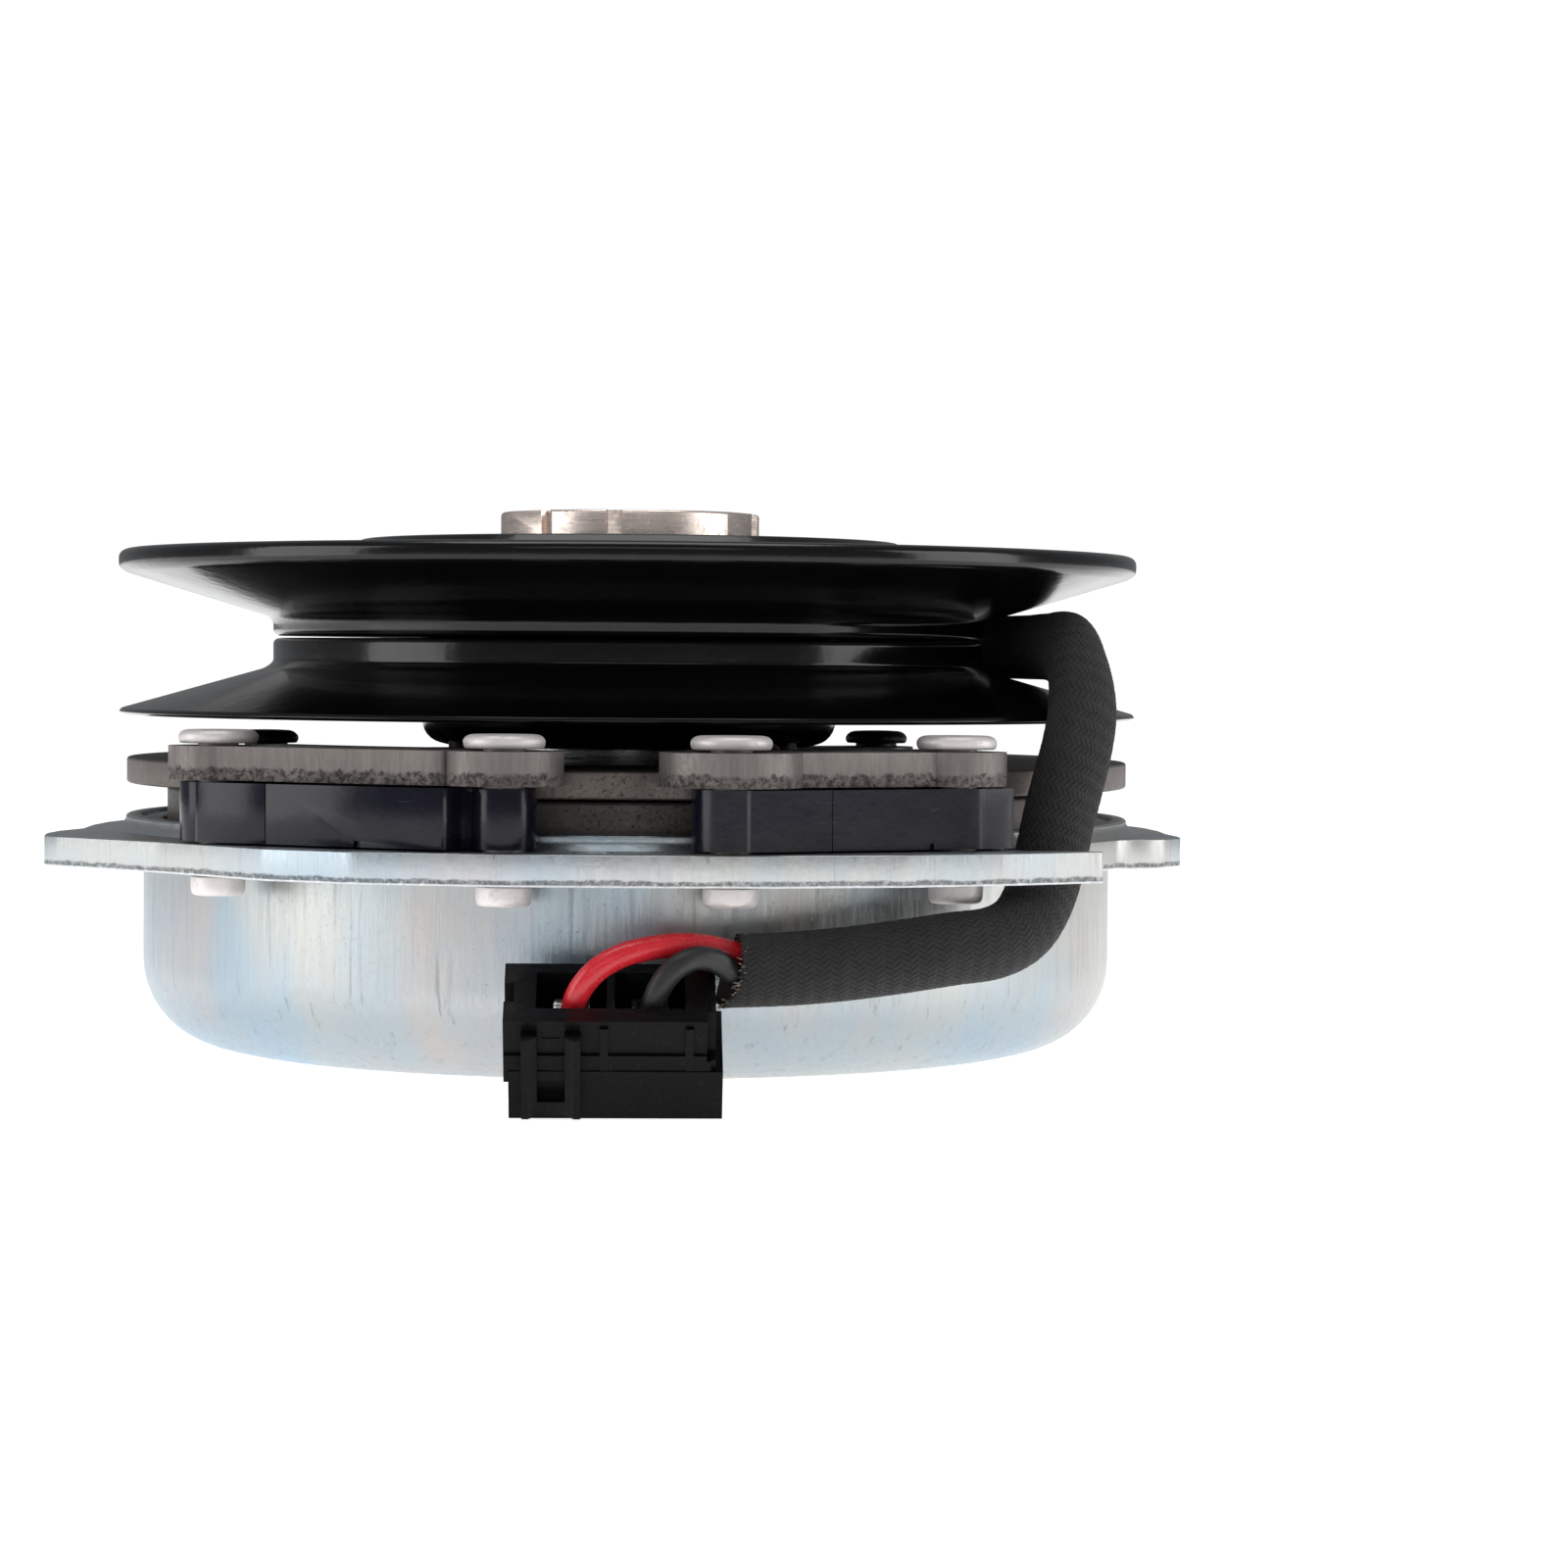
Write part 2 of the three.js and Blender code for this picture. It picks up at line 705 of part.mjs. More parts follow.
function lead() {
  const grommet = new THREE.Shape();
  grommet.moveTo(-7, 68.5);
  grommet.lineTo(7, 68.5);
  grommet.lineTo(7, 76.5);
  grommet.absarc(0, 73.8, 6.8, rad(22), rad(158), false);
  grommet.lineTo(-7, 76.5);
  const seat = body(slab(grommet, 15, PLATE_Z0 - 0.3, 10));
  const cleared = seat.subtract(body(disc(CUP_R + 0.3, 0, 60, 0, 0, 72)));
  const block1 = surface(cleared);
  const piece = place('lead_grommet', block1, RUBBER);
  piece.rotation.z = rad(-15);
  const passages = [RED_ROUTE, BLACK_ROUTE].map((route) => {
    const start = new THREE.Vector3(...route[0]);
    const back = start.clone().sub(new THREE.Vector3(...route[1])).setLength(0.5).add(start);
    return tube([back.toArray(), ...route.slice(0, 5)], WIRE_D + 0.8, 8, 10);
  });
  place('lead_sleeve', cut(tube(SLEEVE_ROUTE, SLEEVE_D, 12, 48), ...passages), BRAID);
  place('lead_wire_red', tube(RED_ROUTE, WIRE_D, 8, 18), RED);
  place('lead_wire_black', tube(BLACK_ROUTE, WIRE_D, 8, 14), BLACK_WIRE);
}

function connector() {
  const frame = new THREE.Group();
  const tilt = rad(CONNECTOR_TILT);
  const rise = (CONNECTOR_T / 2 + 0.6) * Math.sin(tilt) + 0.02;
  frame.rotation.x = tilt;
  frame.position.set(-2.1, -75.6, rise);
  root.add(frame);
  const w = CONNECTOR_W / 2;
  const t = CONNECTOR_T / 2;
  const shell = block(-w, w, -t, t, 5, CONNECTOR_L);
  const skirt = block(-w + 0.6, w + 0.9, -t - 0.6, t, 0, 7);
  let solid = body(shell).add(body(skirt));
  for (const x of CAVITY_X) {
    solid = solid.subtract(body(block(x - 4.3, x + 4.3, -3.4, 4.2, 2.2, 30)));
  }
  solid = solid.subtract(body(block(-w - 1, -w + 1.2, -2, 2, 9, 30)));
  const arm = block(-w + 2.2, -w + 9.4, -t - 2.2, -t + 0.2, 1, 12.6);
  const slot = block(-w + 4.1, -w + 7.5, -t - 3, -t - 0.4, 3, 11.4);
  const latch = body(arm).subtract(body(slot));
  solid = solid.add(latch);
  place('connector_housing', surface(solid), NYLON, frame);
  for (const [index, x] of CAVITY_X.entries()) {
    const wing = block(x - 2.2, x + 2.2, -2.4, 2.3, 2.6, 11.6);
    const hollow = block(x - 1.8, x + 1.8, -3, 1.9, 3.2, 12);
    place('terminal_' + (index + 1), cut(wing, hollow), TIN, frame);
  }
}

fieldCup();
polePiece();
coil();
bearing('field_bearing', 7.7, 21.7, 31, [21, 27.6]);
bearing('pulley_bearing', 50.1, 70.1, 27.5, [20.8, 24.6]);
snapRings();
mountingPlate();
for (const unit of UNITS) {
  brakeUnit(unit);
}
rotorDisc();
rotorHub();
hubSpacer();
pulley();
armature();
leafSprings();
lead();
connector();

export default root;
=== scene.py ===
"""Looks for an electromagnetic clutch: field cup, mounting plate, brake, rotor, pulley, armature and lead.

The sections follow the clutch as it is put together. Sizes in the sections are millimetres.
"""

import math

import bmesh
import bpy
from mathutils import Matrix, Vector, noise


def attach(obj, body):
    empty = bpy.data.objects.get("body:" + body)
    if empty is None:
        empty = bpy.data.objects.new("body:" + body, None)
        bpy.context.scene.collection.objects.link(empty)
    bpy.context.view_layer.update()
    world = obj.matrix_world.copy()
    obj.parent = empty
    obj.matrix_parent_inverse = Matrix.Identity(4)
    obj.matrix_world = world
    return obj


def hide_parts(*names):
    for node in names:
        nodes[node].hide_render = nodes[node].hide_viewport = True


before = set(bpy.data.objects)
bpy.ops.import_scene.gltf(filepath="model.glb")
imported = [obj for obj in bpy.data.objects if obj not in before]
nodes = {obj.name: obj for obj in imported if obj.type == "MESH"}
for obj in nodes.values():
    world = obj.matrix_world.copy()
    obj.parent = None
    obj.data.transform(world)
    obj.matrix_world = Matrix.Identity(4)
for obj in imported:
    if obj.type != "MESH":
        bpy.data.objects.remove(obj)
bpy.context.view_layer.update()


# ---------------------------------------------------------------- Viewpoint
# The clutch stands on its cup and is seen from the front, level with the belt groove,
# from far enough away that the near and far edges of the plate almost line up.
STAND_OFF = 580
EYE_HEIGHT = 56.4
camera = bpy.data.objects.new("viewpoint", bpy.data.cameras.new("viewpoint"))
camera.data.lens = 93.8
camera.data.sensor_width = 36
camera.data.clip_start = 0.02
camera.data.clip_end = 40
aim = (
    Matrix.Rotation(math.radians(-2.18), 4, "Z")
    @ Matrix.Rotation(math.radians(90 - 1.76), 4, "X")
    @ Matrix.Rotation(math.radians(0.43), 4, "Z")
)
camera.matrix_world = Matrix.Translation((0, -STAND_OFF / 1000, EYE_HEIGHT / 1000)) @ aim
bpy.context.scene.collection.objects.link(camera)
bpy.context.scene.camera = camera


# ---------------------------------------------------------------- Sleeve of the lead
# A braided polyester sleeve over two insulated wires. It leaves a grommet at the back, lies
# in the belt groove, drops through the plate notch at the front right and ends in front of
# the cup. Its free end is cut on the slant, so that the wires come out of an open mouth.
SLEEVE_ROUTE = [
    (19.9, 74.4, 28.3), (20, 74.7, 34), (20.2, 74.8, 40), (21.6, 74.3, 46), (24.7, 71.9, 51.4),
    (29.3, 67.3, 55.3), (34.4, 60.8, 57.6), (39.8, 52.9, 58.3), (45.6, 43.2, 58.3),
    (50.9, 31.8, 58.3), (55.1, 19, 58.3), (57.3, 6, 58.3), (57.5, -6, 58.3), (57.9, -17.7, 58.3),
    (58.4, -28.5, 58.1), (58.8, -35.3, 57.5), (59.1, -40.6, 56.1), (59.3, -45, 53.4),
    (59.1, -48.6, 49.6), (58.1, -51, 44.8), (56.8, -52.5, 40.2), (55.6, -53.7, 35.8),
    (54.5, -55.3, 31.2), (52.9, -58, 26.4), (50.2, -62.2, 22.6), (46.2, -66.5, 20.8),
    (40.5, -70.2, 20.2), (33.6, -72.6, 19.3), (26.5, -74.4, 18.5), (19.6, -75.8, 18),
    (13.2, -76.6, 17.8),
]
SLEEVE_D = 9.4
SLEEVE_STEP = 0.42
AROUND = 96
# Twice this many strands lie side by side each way, and four of them cross each pitch of length.
STRANDS = 20
PITCH = 4.4


class Reading:
    """A value read from one socket of a finish. Arithmetic on it adds Math nodes."""

    def __init__(self, finish, socket):
        self.finish = finish
        self.socket = socket

    def maths(self, operation, *values):
        inputs = dict(enumerate(values))
        return self.finish.add("ShaderNodeMath", {"operation": operation}, inputs)

    def __add__(self, other):
        return self.maths("ADD", self, other)

    __radd__ = __add__

    def __sub__(self, other):
        return self.maths("SUBTRACT", self, other)

    def __rsub__(self, other):
        return self.maths("SUBTRACT", other, self)

    def __mul__(self, other):
        return self.maths("MULTIPLY", self, other)

    __rmul__ = __mul__

    def __mod__(self, other):
        return self.maths("FLOORED_MODULO", self, other)

    def __lt__(self, other):
        return self.maths("LESS_THAN", self, other)

    def only(self, operation):
        return self.maths(operation, self)


class Finish:
    """A material whose Principled shader is filled in step by step."""

    def __init__(self, name, metallic=0.0, roughness=0.5, **fixed):
        self.material = bpy.data.materials.new(name)
        self.material.use_nodes = True
        self.tree = self.material.node_tree
        self.shader = self.tree.nodes["Principled BSDF"]
        self.shader.inputs["Metallic"].default_value = metallic
        self.shader.inputs["Roughness"].default_value = roughness
        for socket, value in fixed.items():
            self.shader.inputs[socket.replace("_", " ")].default_value = value

    def add(self, kind, settings=None, inputs=None, out=0):
        node = self.tree.nodes.new(kind)
        for key, value in (settings or {}).items():
            if key == "stops":
                ramp = node.color_ramp
                while len(ramp.elements) > 1:
                    ramp.elements.remove(ramp.elements[-1])
                for index, (place, colour) in enumerate(value):
                    stop = ramp.elements[0] if index == 0 else ramp.elements.new(place)
                    stop.position = place
                    stop.color = colour if len(colour) == 4 else (*colour, 1)
            else:
                setattr(node, key, value)
        for key, value in (inputs or {}).items():
            if isinstance(value, Reading):
                self.tree.links.new(value.socket, node.inputs[key])
            elif isinstance(value, tuple) and len(value) == 3 and node.inputs[key].type == "RGBA":
                node.inputs[key].default_value = (*value, 1)
            else:
                node.inputs[key].default_value = value
        return Reading(self, node.outputs[out])

    def place(self, scale=(1, 1, 1), turn=(0, 0, 0), shift=(0, 0, 0)):
        """Object coordinates in millimetres, stretched, turned or shifted."""
        spot = self.add("ShaderNodeTexCoord", out="Object")
        size = tuple(1000 * s for s in scale)
        inputs = {"Vector": spot, "Scale": size, "Rotation": turn, "Location": shift}
        return self.add("ShaderNodeMapping", {}, inputs)

    def noise(self, where, scale, detail=3.0, rough=0.55, distortion=0.0):
        inputs = {"Vector": where, "Scale": scale, "Detail": detail}
        inputs.update({"Roughness": rough, "Distortion": distortion})
        return self.add("ShaderNodeTexNoise", {}, inputs)

    def part(self, where, axis):
        return self.add("ShaderNodeSeparateXYZ", {}, {0: where}, out="XYZ".index(axis))

    def between(self, value, low, high, start=0.0, end=1.0):
        """Maps low..high to start..end and holds it there."""
        inputs = {0: value, 1: low, 2: high, 3: start, 4: end}
        return self.add("ShaderNodeMapRange", {"clamp": True}, inputs)

    def tint(self, factor, first, second):
        """Mixes two colours."""
        inputs = {0: factor, 6: first, 7: second}
        return self.add("ShaderNodeMix", {"data_type": "RGBA"}, inputs, out=2)

    def so_far(self, socket):
        """What already feeds a socket of the shader."""
        return Reading(self, self.shader.inputs[socket].links[0].from_socket)

    def wears(self, **sockets):
        for socket, value in sockets.items():
            target = self.shader.inputs[socket.replace("_", " ")]
            if isinstance(value, Reading):
                self.tree.links.new(value.socket, target)
            elif isinstance(value, tuple) and len(value) == 3:
                target.default_value = (*value, 1)
            else:
                target.default_value = value
        return self

    def relief(self, height, deep=0.05, strength=1.0):
        """Bump from a height of 0 to 1 that stands for so many millimetres."""
        inputs = {"Height": height, "Distance": deep / 1000, "Strength": strength}
        bump = self.add("ShaderNodeBump", {}, inputs)
        self.tree.links.new(bump.socket, self.shader.inputs["Normal"])
        return self

    def on(self, *things):
        for thing in things:
            thing.data.materials.clear()
            thing.data.materials.append(self.material)
        return self


def catmull(route, step):
    """Points along the centripetal curve through a route, about a step apart."""
    p = [Vector(q) for q in route]
    p = [2 * p[0] - p[1], *p, 2 * p[-1] - p[-2]]
    out = []
    for i in range(1, len(p) - 2):
        a, b, c, d = p[i - 1 : i + 3]
        t1 = (b - a).length ** 0.5
        t2 = t1 + (c - b).length ** 0.5
        t3 = t2 + (d - c).length ** 0.5
        count = max(1, round((c - b).length / step))
        for k in range(count):
            t = t1 + (t2 - t1) * k / count
            ab = a.lerp(b, t / t1)
            bc = b.lerp(c, (t - t1) / (t2 - t1))
            cd = c.lerp(d, (t - t2) / (t3 - t2))
            abc = ab.lerp(bc, t / t2)
            bcd = bc.lerp(cd, (t - t1) / (t3 - t1))
            out.append(abc.lerp(bcd, (t - t1) / (t2 - t1)))
    out.append(p[-2])
    return out


def frames(line):
    """The direction, and two directions across it that don't twist, at each point of a line."""
    ways = []
    side = None
    for i, here in enumerate(line):
        ahead = (line[min(i + 1, len(line) - 1)] - line[max(i - 1, 0)]).normalized()
        if side is None:
            side = ahead.cross(Vector((0.3, 0.9, 0.2))).normalized()
        side = (side - ahead * side.dot(ahead)).normalized()
        ways.append((ahead, side, ahead.cross(side)))
    return ways


def piece(name, bm, sharp=38):
    """Makes an object of a mesh in millimetres, smooth but for its sharp edges."""
    bmesh.ops.scale(bm, vec=(0.001, 0.001, 0.001), verts=bm.verts)
    for face in bm.faces:
        face.smooth = True
    for edge in bm.edges:
        if len(edge.link_faces) == 2 and edge.calc_face_angle(0) > math.radians(sharp):
            edge.smooth = False
    mesh = bpy.data.meshes.new(name)
    bm.to_mesh(mesh)
    bm.free()
    thing = bpy.data.objects.new(name, mesh)
    bpy.context.scene.collection.objects.link(thing)
    return thing


def stations(line):
    """How far along a line each of its points is."""
    run = [0.0]
    for a, b in zip(line, line[1:]):
        run.append(run[-1] + (b - a).length)
    return run


def hose(line, radius, around, closed=True):
    """A round solid along a line. Its UV map is the length and the way round, in millimetres."""
    bm = bmesh.new()
    uv = bm.loops.layers.uv.new("along")
    rings = []
    lengths = stations(line)
    for i, (here, (ahead, side, up)) in enumerate(zip(line, frames(line))):
        ring = []
        for k in range(around):
            turn = math.tau * k / around
            r = radius(i, turn) if callable(radius) else radius
            ring.append(bm.verts.new(here + (side * math.cos(turn) + up * math.sin(turn)) * r))
        rings.append(ring)
    girth = math.tau * (SLEEVE_D / 2 if callable(radius) else radius)
    for i in range(len(rings) - 1):
        for k in range(around):
            n = (k + 1) % around
            face = bm.faces.new((rings[i][k], rings[i][n], rings[i + 1][n], rings[i + 1][k]))
            spots = [(i, k), (i, k + 1), (i + 1, k + 1), (i + 1, k)]
            for loop, (row, column) in zip(face.loops, spots):
                loop[uv].uv = (lengths[row], girth * column / around)
    if closed:
        bm.faces.new(rings[0])
        bm.faces.new(rings[-1])
    bmesh.ops.recalc_face_normals(bm, faces=bm.faces)
    return bm


def fitted(thing, body, slot, *stands_for):
    """Says what a piece moves with and which plain solids it stands for. The slot, whose finish it takes, is not
    used.
    """
    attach(thing, body)
    if stands_for:
        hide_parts(*stands_for)
    return thing


def metres(line):
    return [tuple(v / 1000 for v in q) for q in line]


def braid_height(length, way):
    """The crown of the strand on top at a place on the sleeve, from 0 to 1."""
    girth = math.pi * SLEEVE_D
    a = STRANDS * (way / girth) * 2 + length / PITCH * 4
    b = STRANDS * (way / girth) * 2 - length / PITCH * 4
    over = (math.floor(a) - math.floor(b)) % 4 < 2
    return abs(math.sin(math.pi * (b if over else a)))


sleeve_line = catmull(SLEEVE_ROUTE, SLEEVE_STEP)
sleeve_ways = frames(sleeve_line)
distance = stations(sleeve_line)


def sleeve_radius(i, turn):
    """The wavy outside of the braid, at a point of the line and a turn round it."""
    way = turn / math.tau * math.pi * SLEEVE_D
    ahead, side, up = sleeve_ways[i]
    out = side * math.cos(turn) + up * math.sin(turn)
    flutter = noise.noise(Vector((distance[i] * 0.05, math.cos(turn), math.sin(turn))))
    # Where it drops past the pulley the sleeve lies flat, with the two wires side by side.
    here = sleeve_line[i]
    flat = max(0.0, min(1.0, (here.z - 24) / 8)) * max(0.0, min(1.0, (-here.y - 22) / 12))
    thin = Vector((here.x, here.y, 0)).normalized()
    thin = (thin - ahead * thin.dot(ahead)).normalized()
    across = out.dot(thin) ** 2
    shape = 1 + flat * (0.13 - 0.24 * across)
    return (SLEEVE_D / 2 - 0.22) * shape + 0.13 * braid_height(distance[i], way) + 0.12 * flutter


def slant(out):
    """How far the cut rim stands past the last point of the line, by its place round the end."""
    return 0.52 * out.y - 1.6 * out.z


bm = hose(sleeve_line, sleeve_radius, AROUND, closed=False)
bm.verts.ensure_lookup_table()
last = bm.verts[-AROUND:]
end = sleeve_line[-1]
ahead, side, up = sleeve_ways[-1]
for vert in last:
    out = (vert.co - end).normalized()
    vert.co += ahead * (slant(out) + 0.35 * noise.noise(out * 3))
# The first new ring turns the rim in, and the others run back inside to a bottom.
rim = [e for e in bm.edges if e.is_boundary and e.verts[0] in last and e.verts[1] in last]
for inward, back in ((0.88, 0.35), (0.84, -5), (0.84, -12)):
    grown = bmesh.ops.extrude_edge_only(bm, edges=rim)["geom"]
    rim = [g for g in grown if isinstance(g, bmesh.types.BMEdge) and g.is_boundary]
    for vert in {v for e in rim for v in e.verts}:
        offset = vert.co - end
        along = offset.dot(ahead)
        across = offset - ahead * along
        across = across.normalized() * SLEEVE_D / 2 * inward
        vert.co = end + across + ahead * (along + back if back > 0 else back)
bmesh.ops.edgeloop_fill(bm, edges=rim)
bmesh.ops.edgeloop_fill(bm, edges=[e for e in bm.edges if e.is_boundary])
bmesh.ops.recalc_face_normals(bm, faces=bm.faces)
sleeve = piece("braided_sleeve", bm, sharp=180)
fitted(sleeve, "field", "braid", "lead_sleeve")

braid = Finish("black_braid", roughness=0.75)
spot = braid.add("ShaderNodeUVMap", {"uv_map": "along"})
length_way = braid.part(spot, "X")
round_way = braid.part(spot, "Y") * (2 * STRANDS / (math.pi * SLEEVE_D))
right = round_way + length_way * (4 / PITCH)
left = round_way - length_way * (4 / PITCH)
over = ((right.only("FLOOR") - left.only("FLOOR")) % 4) < 2
on_top = over * (left * math.pi).only("SINE").only("ABSOLUTE")
under = (1 - over) * (right * math.pi).only("SINE").only("ABSOLUTE")
crown = on_top + under
# Each strand is a bundle of fine filaments that run along it.
filament = over * (left * 6.0).only("FRACT") + (1 - over) * (right * 6.0).only("FRACT")
filament = (filament * math.pi).only("SINE")
patchy = braid.noise(braid.place(), 0.22, detail=4)
# The crowns of the strands and their filaments are painted lighter and the hollows between them darker: painted
# light and shade, laid over the bump of the weave.
painted_crown_light = crown * 0.75 + filament * 0.25
painted_weave_shading = braid.tint(painted_crown_light, (0.0025, 0.0024, 0.0024), (0.026, 0.0245, 0.024))
braid.wears(
    Base_Color=braid.tint(braid.between(patchy, 0.45, 0.75) * 0.3, painted_weave_shading, (0.05, 0.047, 0.045)),
    Roughness=0.62 + 0.25 * patchy,
    Sheen_Weight=0.06,
    Sheen_Roughness=0.4,
    Specular_IOR_Level=0.3,
)
braid.relief(crown + 0.25 * filament, deep=0.12)
braid.on(sleeve)

# Loose filaments round the cut rim, some with a tan core where they were hot-knifed.
FILAMENTS = 90
bm = bmesh.new()
for k in range(FILAMENTS):
    turn = math.tau * k / FILAMENTS + 0.05 * math.sin(k * 7.1)
    out = side * math.cos(turn) + up * math.sin(turn)
    start = end + out * (SLEEVE_D / 2 - 0.25 - 0.25 * ((k * 37) % 10) / 10)
    start += ahead * (slant(out) - 0.5)
    wander = Vector((math.sin(k * 3.7), math.cos(k * 5.3), math.sin(k * 2.9 + 1)))
    long = 0.7 + 0.9 * ((k * 53) % 17) / 17
    middle = start + ahead * long * 0.6 + out * 0.1
    tip = start + ahead * long + out * 0.25 + wander * 0.3
    rings = []
    for here, r in ((start, 0.07), (middle, 0.06), (tip, 0.04)):
        corners = [side * math.cos(t) * r + up * math.sin(t) * r for t in (0, 2.1, 4.2)]
        rings.append([bm.verts.new(here + corner) for corner in corners])
    for lower, upper in zip(rings, rings[1:]):
        for i in range(3):
            bm.faces.new((lower[i], lower[(i + 1) % 3], upper[(i + 1) % 3], upper[i]))
    bm.faces.new(rings[0][::-1])
    bm.faces.new(rings[-1])
bmesh.ops.recalc_face_normals(bm, faces=bm.faces)
fray = fitted(piece("sleeve_filaments", bm), "field", "braid")
cut_ends = Finish("cut_filaments", roughness=0.8)
patch = cut_ends.noise(cut_ends.place(), 1.6)
singed = cut_ends.between(patch, 0.4, 0.6)
cut_ends.wears(Base_Color=cut_ends.tint(singed, (0.03, 0.027, 0.025), (0.42, 0.33, 0.25)))
cut_ends.relief(patch, deep=0.02)
cut_ends.on(fray)

metres(SLEEVE_ROUTE)[0]
metres(sleeve_line)


# ---------------------------------------------------------------- Wires of the lead
# Two wires of stranded copper in soft PVC, one glossy red and one satin black. They start
# inside the sleeve, bend over in front of the cup and go down into the connector.
RED_ROUTE = [
    (22, -74.4, 19.4), (17.4, -75.2, 19.4), (13.2, -76.2, 20), (9.8, -77.3, 20.8),
    (6.4, -78.6, 21.1), (2.8, -80.3, 20.8), (-0.7, -82, 20), (-3.8, -83, 18.2), (-6, -82.8, 15.4),
    (-6.8, -81.4, 12.1), (-6.8, -80.2, 10), (-6.8, -79, 7.9),
]
BLACK_ROUTE = [
    (22, -76.4, 16.6), (17.4, -77.2, 16.5), (13.4, -78.5, 17.5), (10.7, -80.1, 19.3),
    (8.1, -81.5, 19.6), (5.6, -82.7, 18.3), (3.7, -82.9, 15.7), (2.9, -81.8, 12.7),
    (2.8, -80.5, 10.4), (2.8, -79.1, 8),
]
WIRE_D = 3
WIRE_STEP = 0.35


def wire(name, route, slot, node, gloss, colours):
    """A wire and its line. The colours are dull, bright and scuffed."""
    line = catmull(route, WIRE_STEP)
    thing = fitted(piece(name, hose(line, WIRE_D / 2, 32)), "field", slot, node)
    skin = Finish(name + "_insulation", roughness=gloss, Specular_IOR_Level=0.5)
    where = skin.place()
    cloudy = skin.noise(where, 0.35, detail=2)
    scuffs = skin.noise(skin.place(scale=(0.4, 1, 1)), 3.5, detail=5, rough=0.7)
    worn = skin.between(scuffs, 0.56, 0.72)
    dull, bright, scuffed = colours
    base = skin.tint(cloudy, dull, bright)
    skin.wears(
        Base_Color=skin.tint(worn * 0.3, base, scuffed),
        Roughness=skin.between(scuffs, 0.3, 0.8, gloss * 0.8, gloss * 1.7),
    )
    skin.relief(skin.noise(where, 0.9, detail=3) + scuffs * 0.15, deep=0.05)
    skin.on(thing)
    return thing, line


red_wire, red_line = wire(
    "red_wire", RED_ROUTE, "red", "lead_wire_red", 0.24,
    ((0.52, 0.012, 0.022), (0.72, 0.022, 0.035), (0.7, 0.2, 0.18)),
)
black_wire, black_line = wire(
    "black_wire", BLACK_ROUTE, "black_wire", "lead_wire_black", 0.4,
    ((0.008, 0.008, 0.009), (0.016, 0.016, 0.018), (0.09, 0.085, 0.08)),
)


# ---------------------------------------------------------------- Connector
# A two-way female housing moulded in black nylon, with a latch on its front. It lies tilted
# on its skirt, and a tinned terminal crimped to each wire sits in each cavity.
def block(low, high, place=None):
    """A box between two corners."""
    bm = bmesh.new()
    centre = Matrix.Translation([(a + b) / 2 for a, b in zip(low, high)])
    size = Matrix.Diagonal((*[b - a for a, b in zip(low, high)], 1))
    bmesh.ops.create_cube(bm, size=1, matrix=centre @ size)
    if place:
        bmesh.ops.transform(bm, matrix=place, verts=bm.verts)
    return bm


def pressed(shape, low, high, place=None):
    """A flat blank: an outline of x, y points given a thickness."""
    bm = bmesh.new()
    face = bm.faces.new([bm.verts.new((x, y, low)) for x, y in shape])
    grown = bmesh.ops.extrude_face_region(bm, geom=[face])["geom"]
    top = [g for g in grown if isinstance(g, bmesh.types.BMVert)]
    bmesh.ops.translate(bm, vec=(0, 0, high - low), verts=top)
    if place:
        bmesh.ops.transform(bm, matrix=place, verts=bm.verts)
    bmesh.ops.recalc_face_normals(bm, faces=bm.faces)
    return bm


def rod(radius, low, high, x=0, y=0, around=48, place=None):
    """An upright cylinder."""
    bm = bmesh.new()
    where = Matrix.Translation((x, y, (low + high) / 2))
    settings = {"cap_ends": True, "segments": around, "radius1": radius, "radius2": radius}
    bmesh.ops.create_cone(bm, depth=high - low, matrix=where, **settings)
    if place:
        bmesh.ops.transform(bm, matrix=place, verts=bm.verts)
    return bm


def turned(outline, around=144, fine=4):
    """A piece turned from a closed outline of radius, height and corner rounding."""
    bm = bmesh.new()
    corners = [bm.verts.new((r, 0, z)) for r, z, _ in outline]
    for here, ahead in zip(corners, corners[1:] + corners[:1]):
        bm.edges.new((here, ahead))
    for corner, (_, _, rounding) in zip(corners, outline):
        if rounding:
            settings = {"affect": "VERTICES", "segments": fine, "profile": 0.5, "material": -1}
            bmesh.ops.bevel(bm, geom=[corner], offset=rounding, **settings)
    whole = {"angle": math.tau, "steps": around, "use_merge": True}
    bmesh.ops.spin(bm, geom=bm.verts[:] + bm.edges[:], axis=(0, 0, 1), cent=(0, 0, 0), **whole)
    bmesh.ops.recalc_face_normals(bm, faces=bm.faces)
    return bm


def machined(name, bm, join=(), cut=(), bevel=0.25, segments=2, sharp=38):
    """Joins and cuts a solid with others, breaks its sharp edges and keeps the result."""
    thing = piece(name, bm)
    tools = []
    for operation, others in (("UNION", join), ("DIFFERENCE", cut)):
        for other in others:
            tools.append(piece("tool", other))
            step = thing.modifiers.new(operation, "BOOLEAN")
            step.operation = operation
            step.solver = "EXACT"
            step.object = tools[-1]
    if bevel:
        step = thing.modifiers.new("broken_edges", "BEVEL")
        step.width = bevel / 1000
        step.segments = segments
        step.limit_method = "ANGLE"
        step.angle_limit = math.radians(32)
        step.miter_outer = "MITER_ARC"
    bpy.context.view_layer.update()
    shaped = thing.evaluated_get(bpy.context.evaluated_depsgraph_get())
    mesh = bpy.data.meshes.new_from_object(shaped)
    thing.modifiers.clear()
    thing.data = mesh
    mesh.name = name
    for tool in tools:
        bpy.data.objects.remove(tool)
    mesh.shade_smooth()
    mesh.set_sharp_from_angle(angle=math.radians(sharp))
    return thing


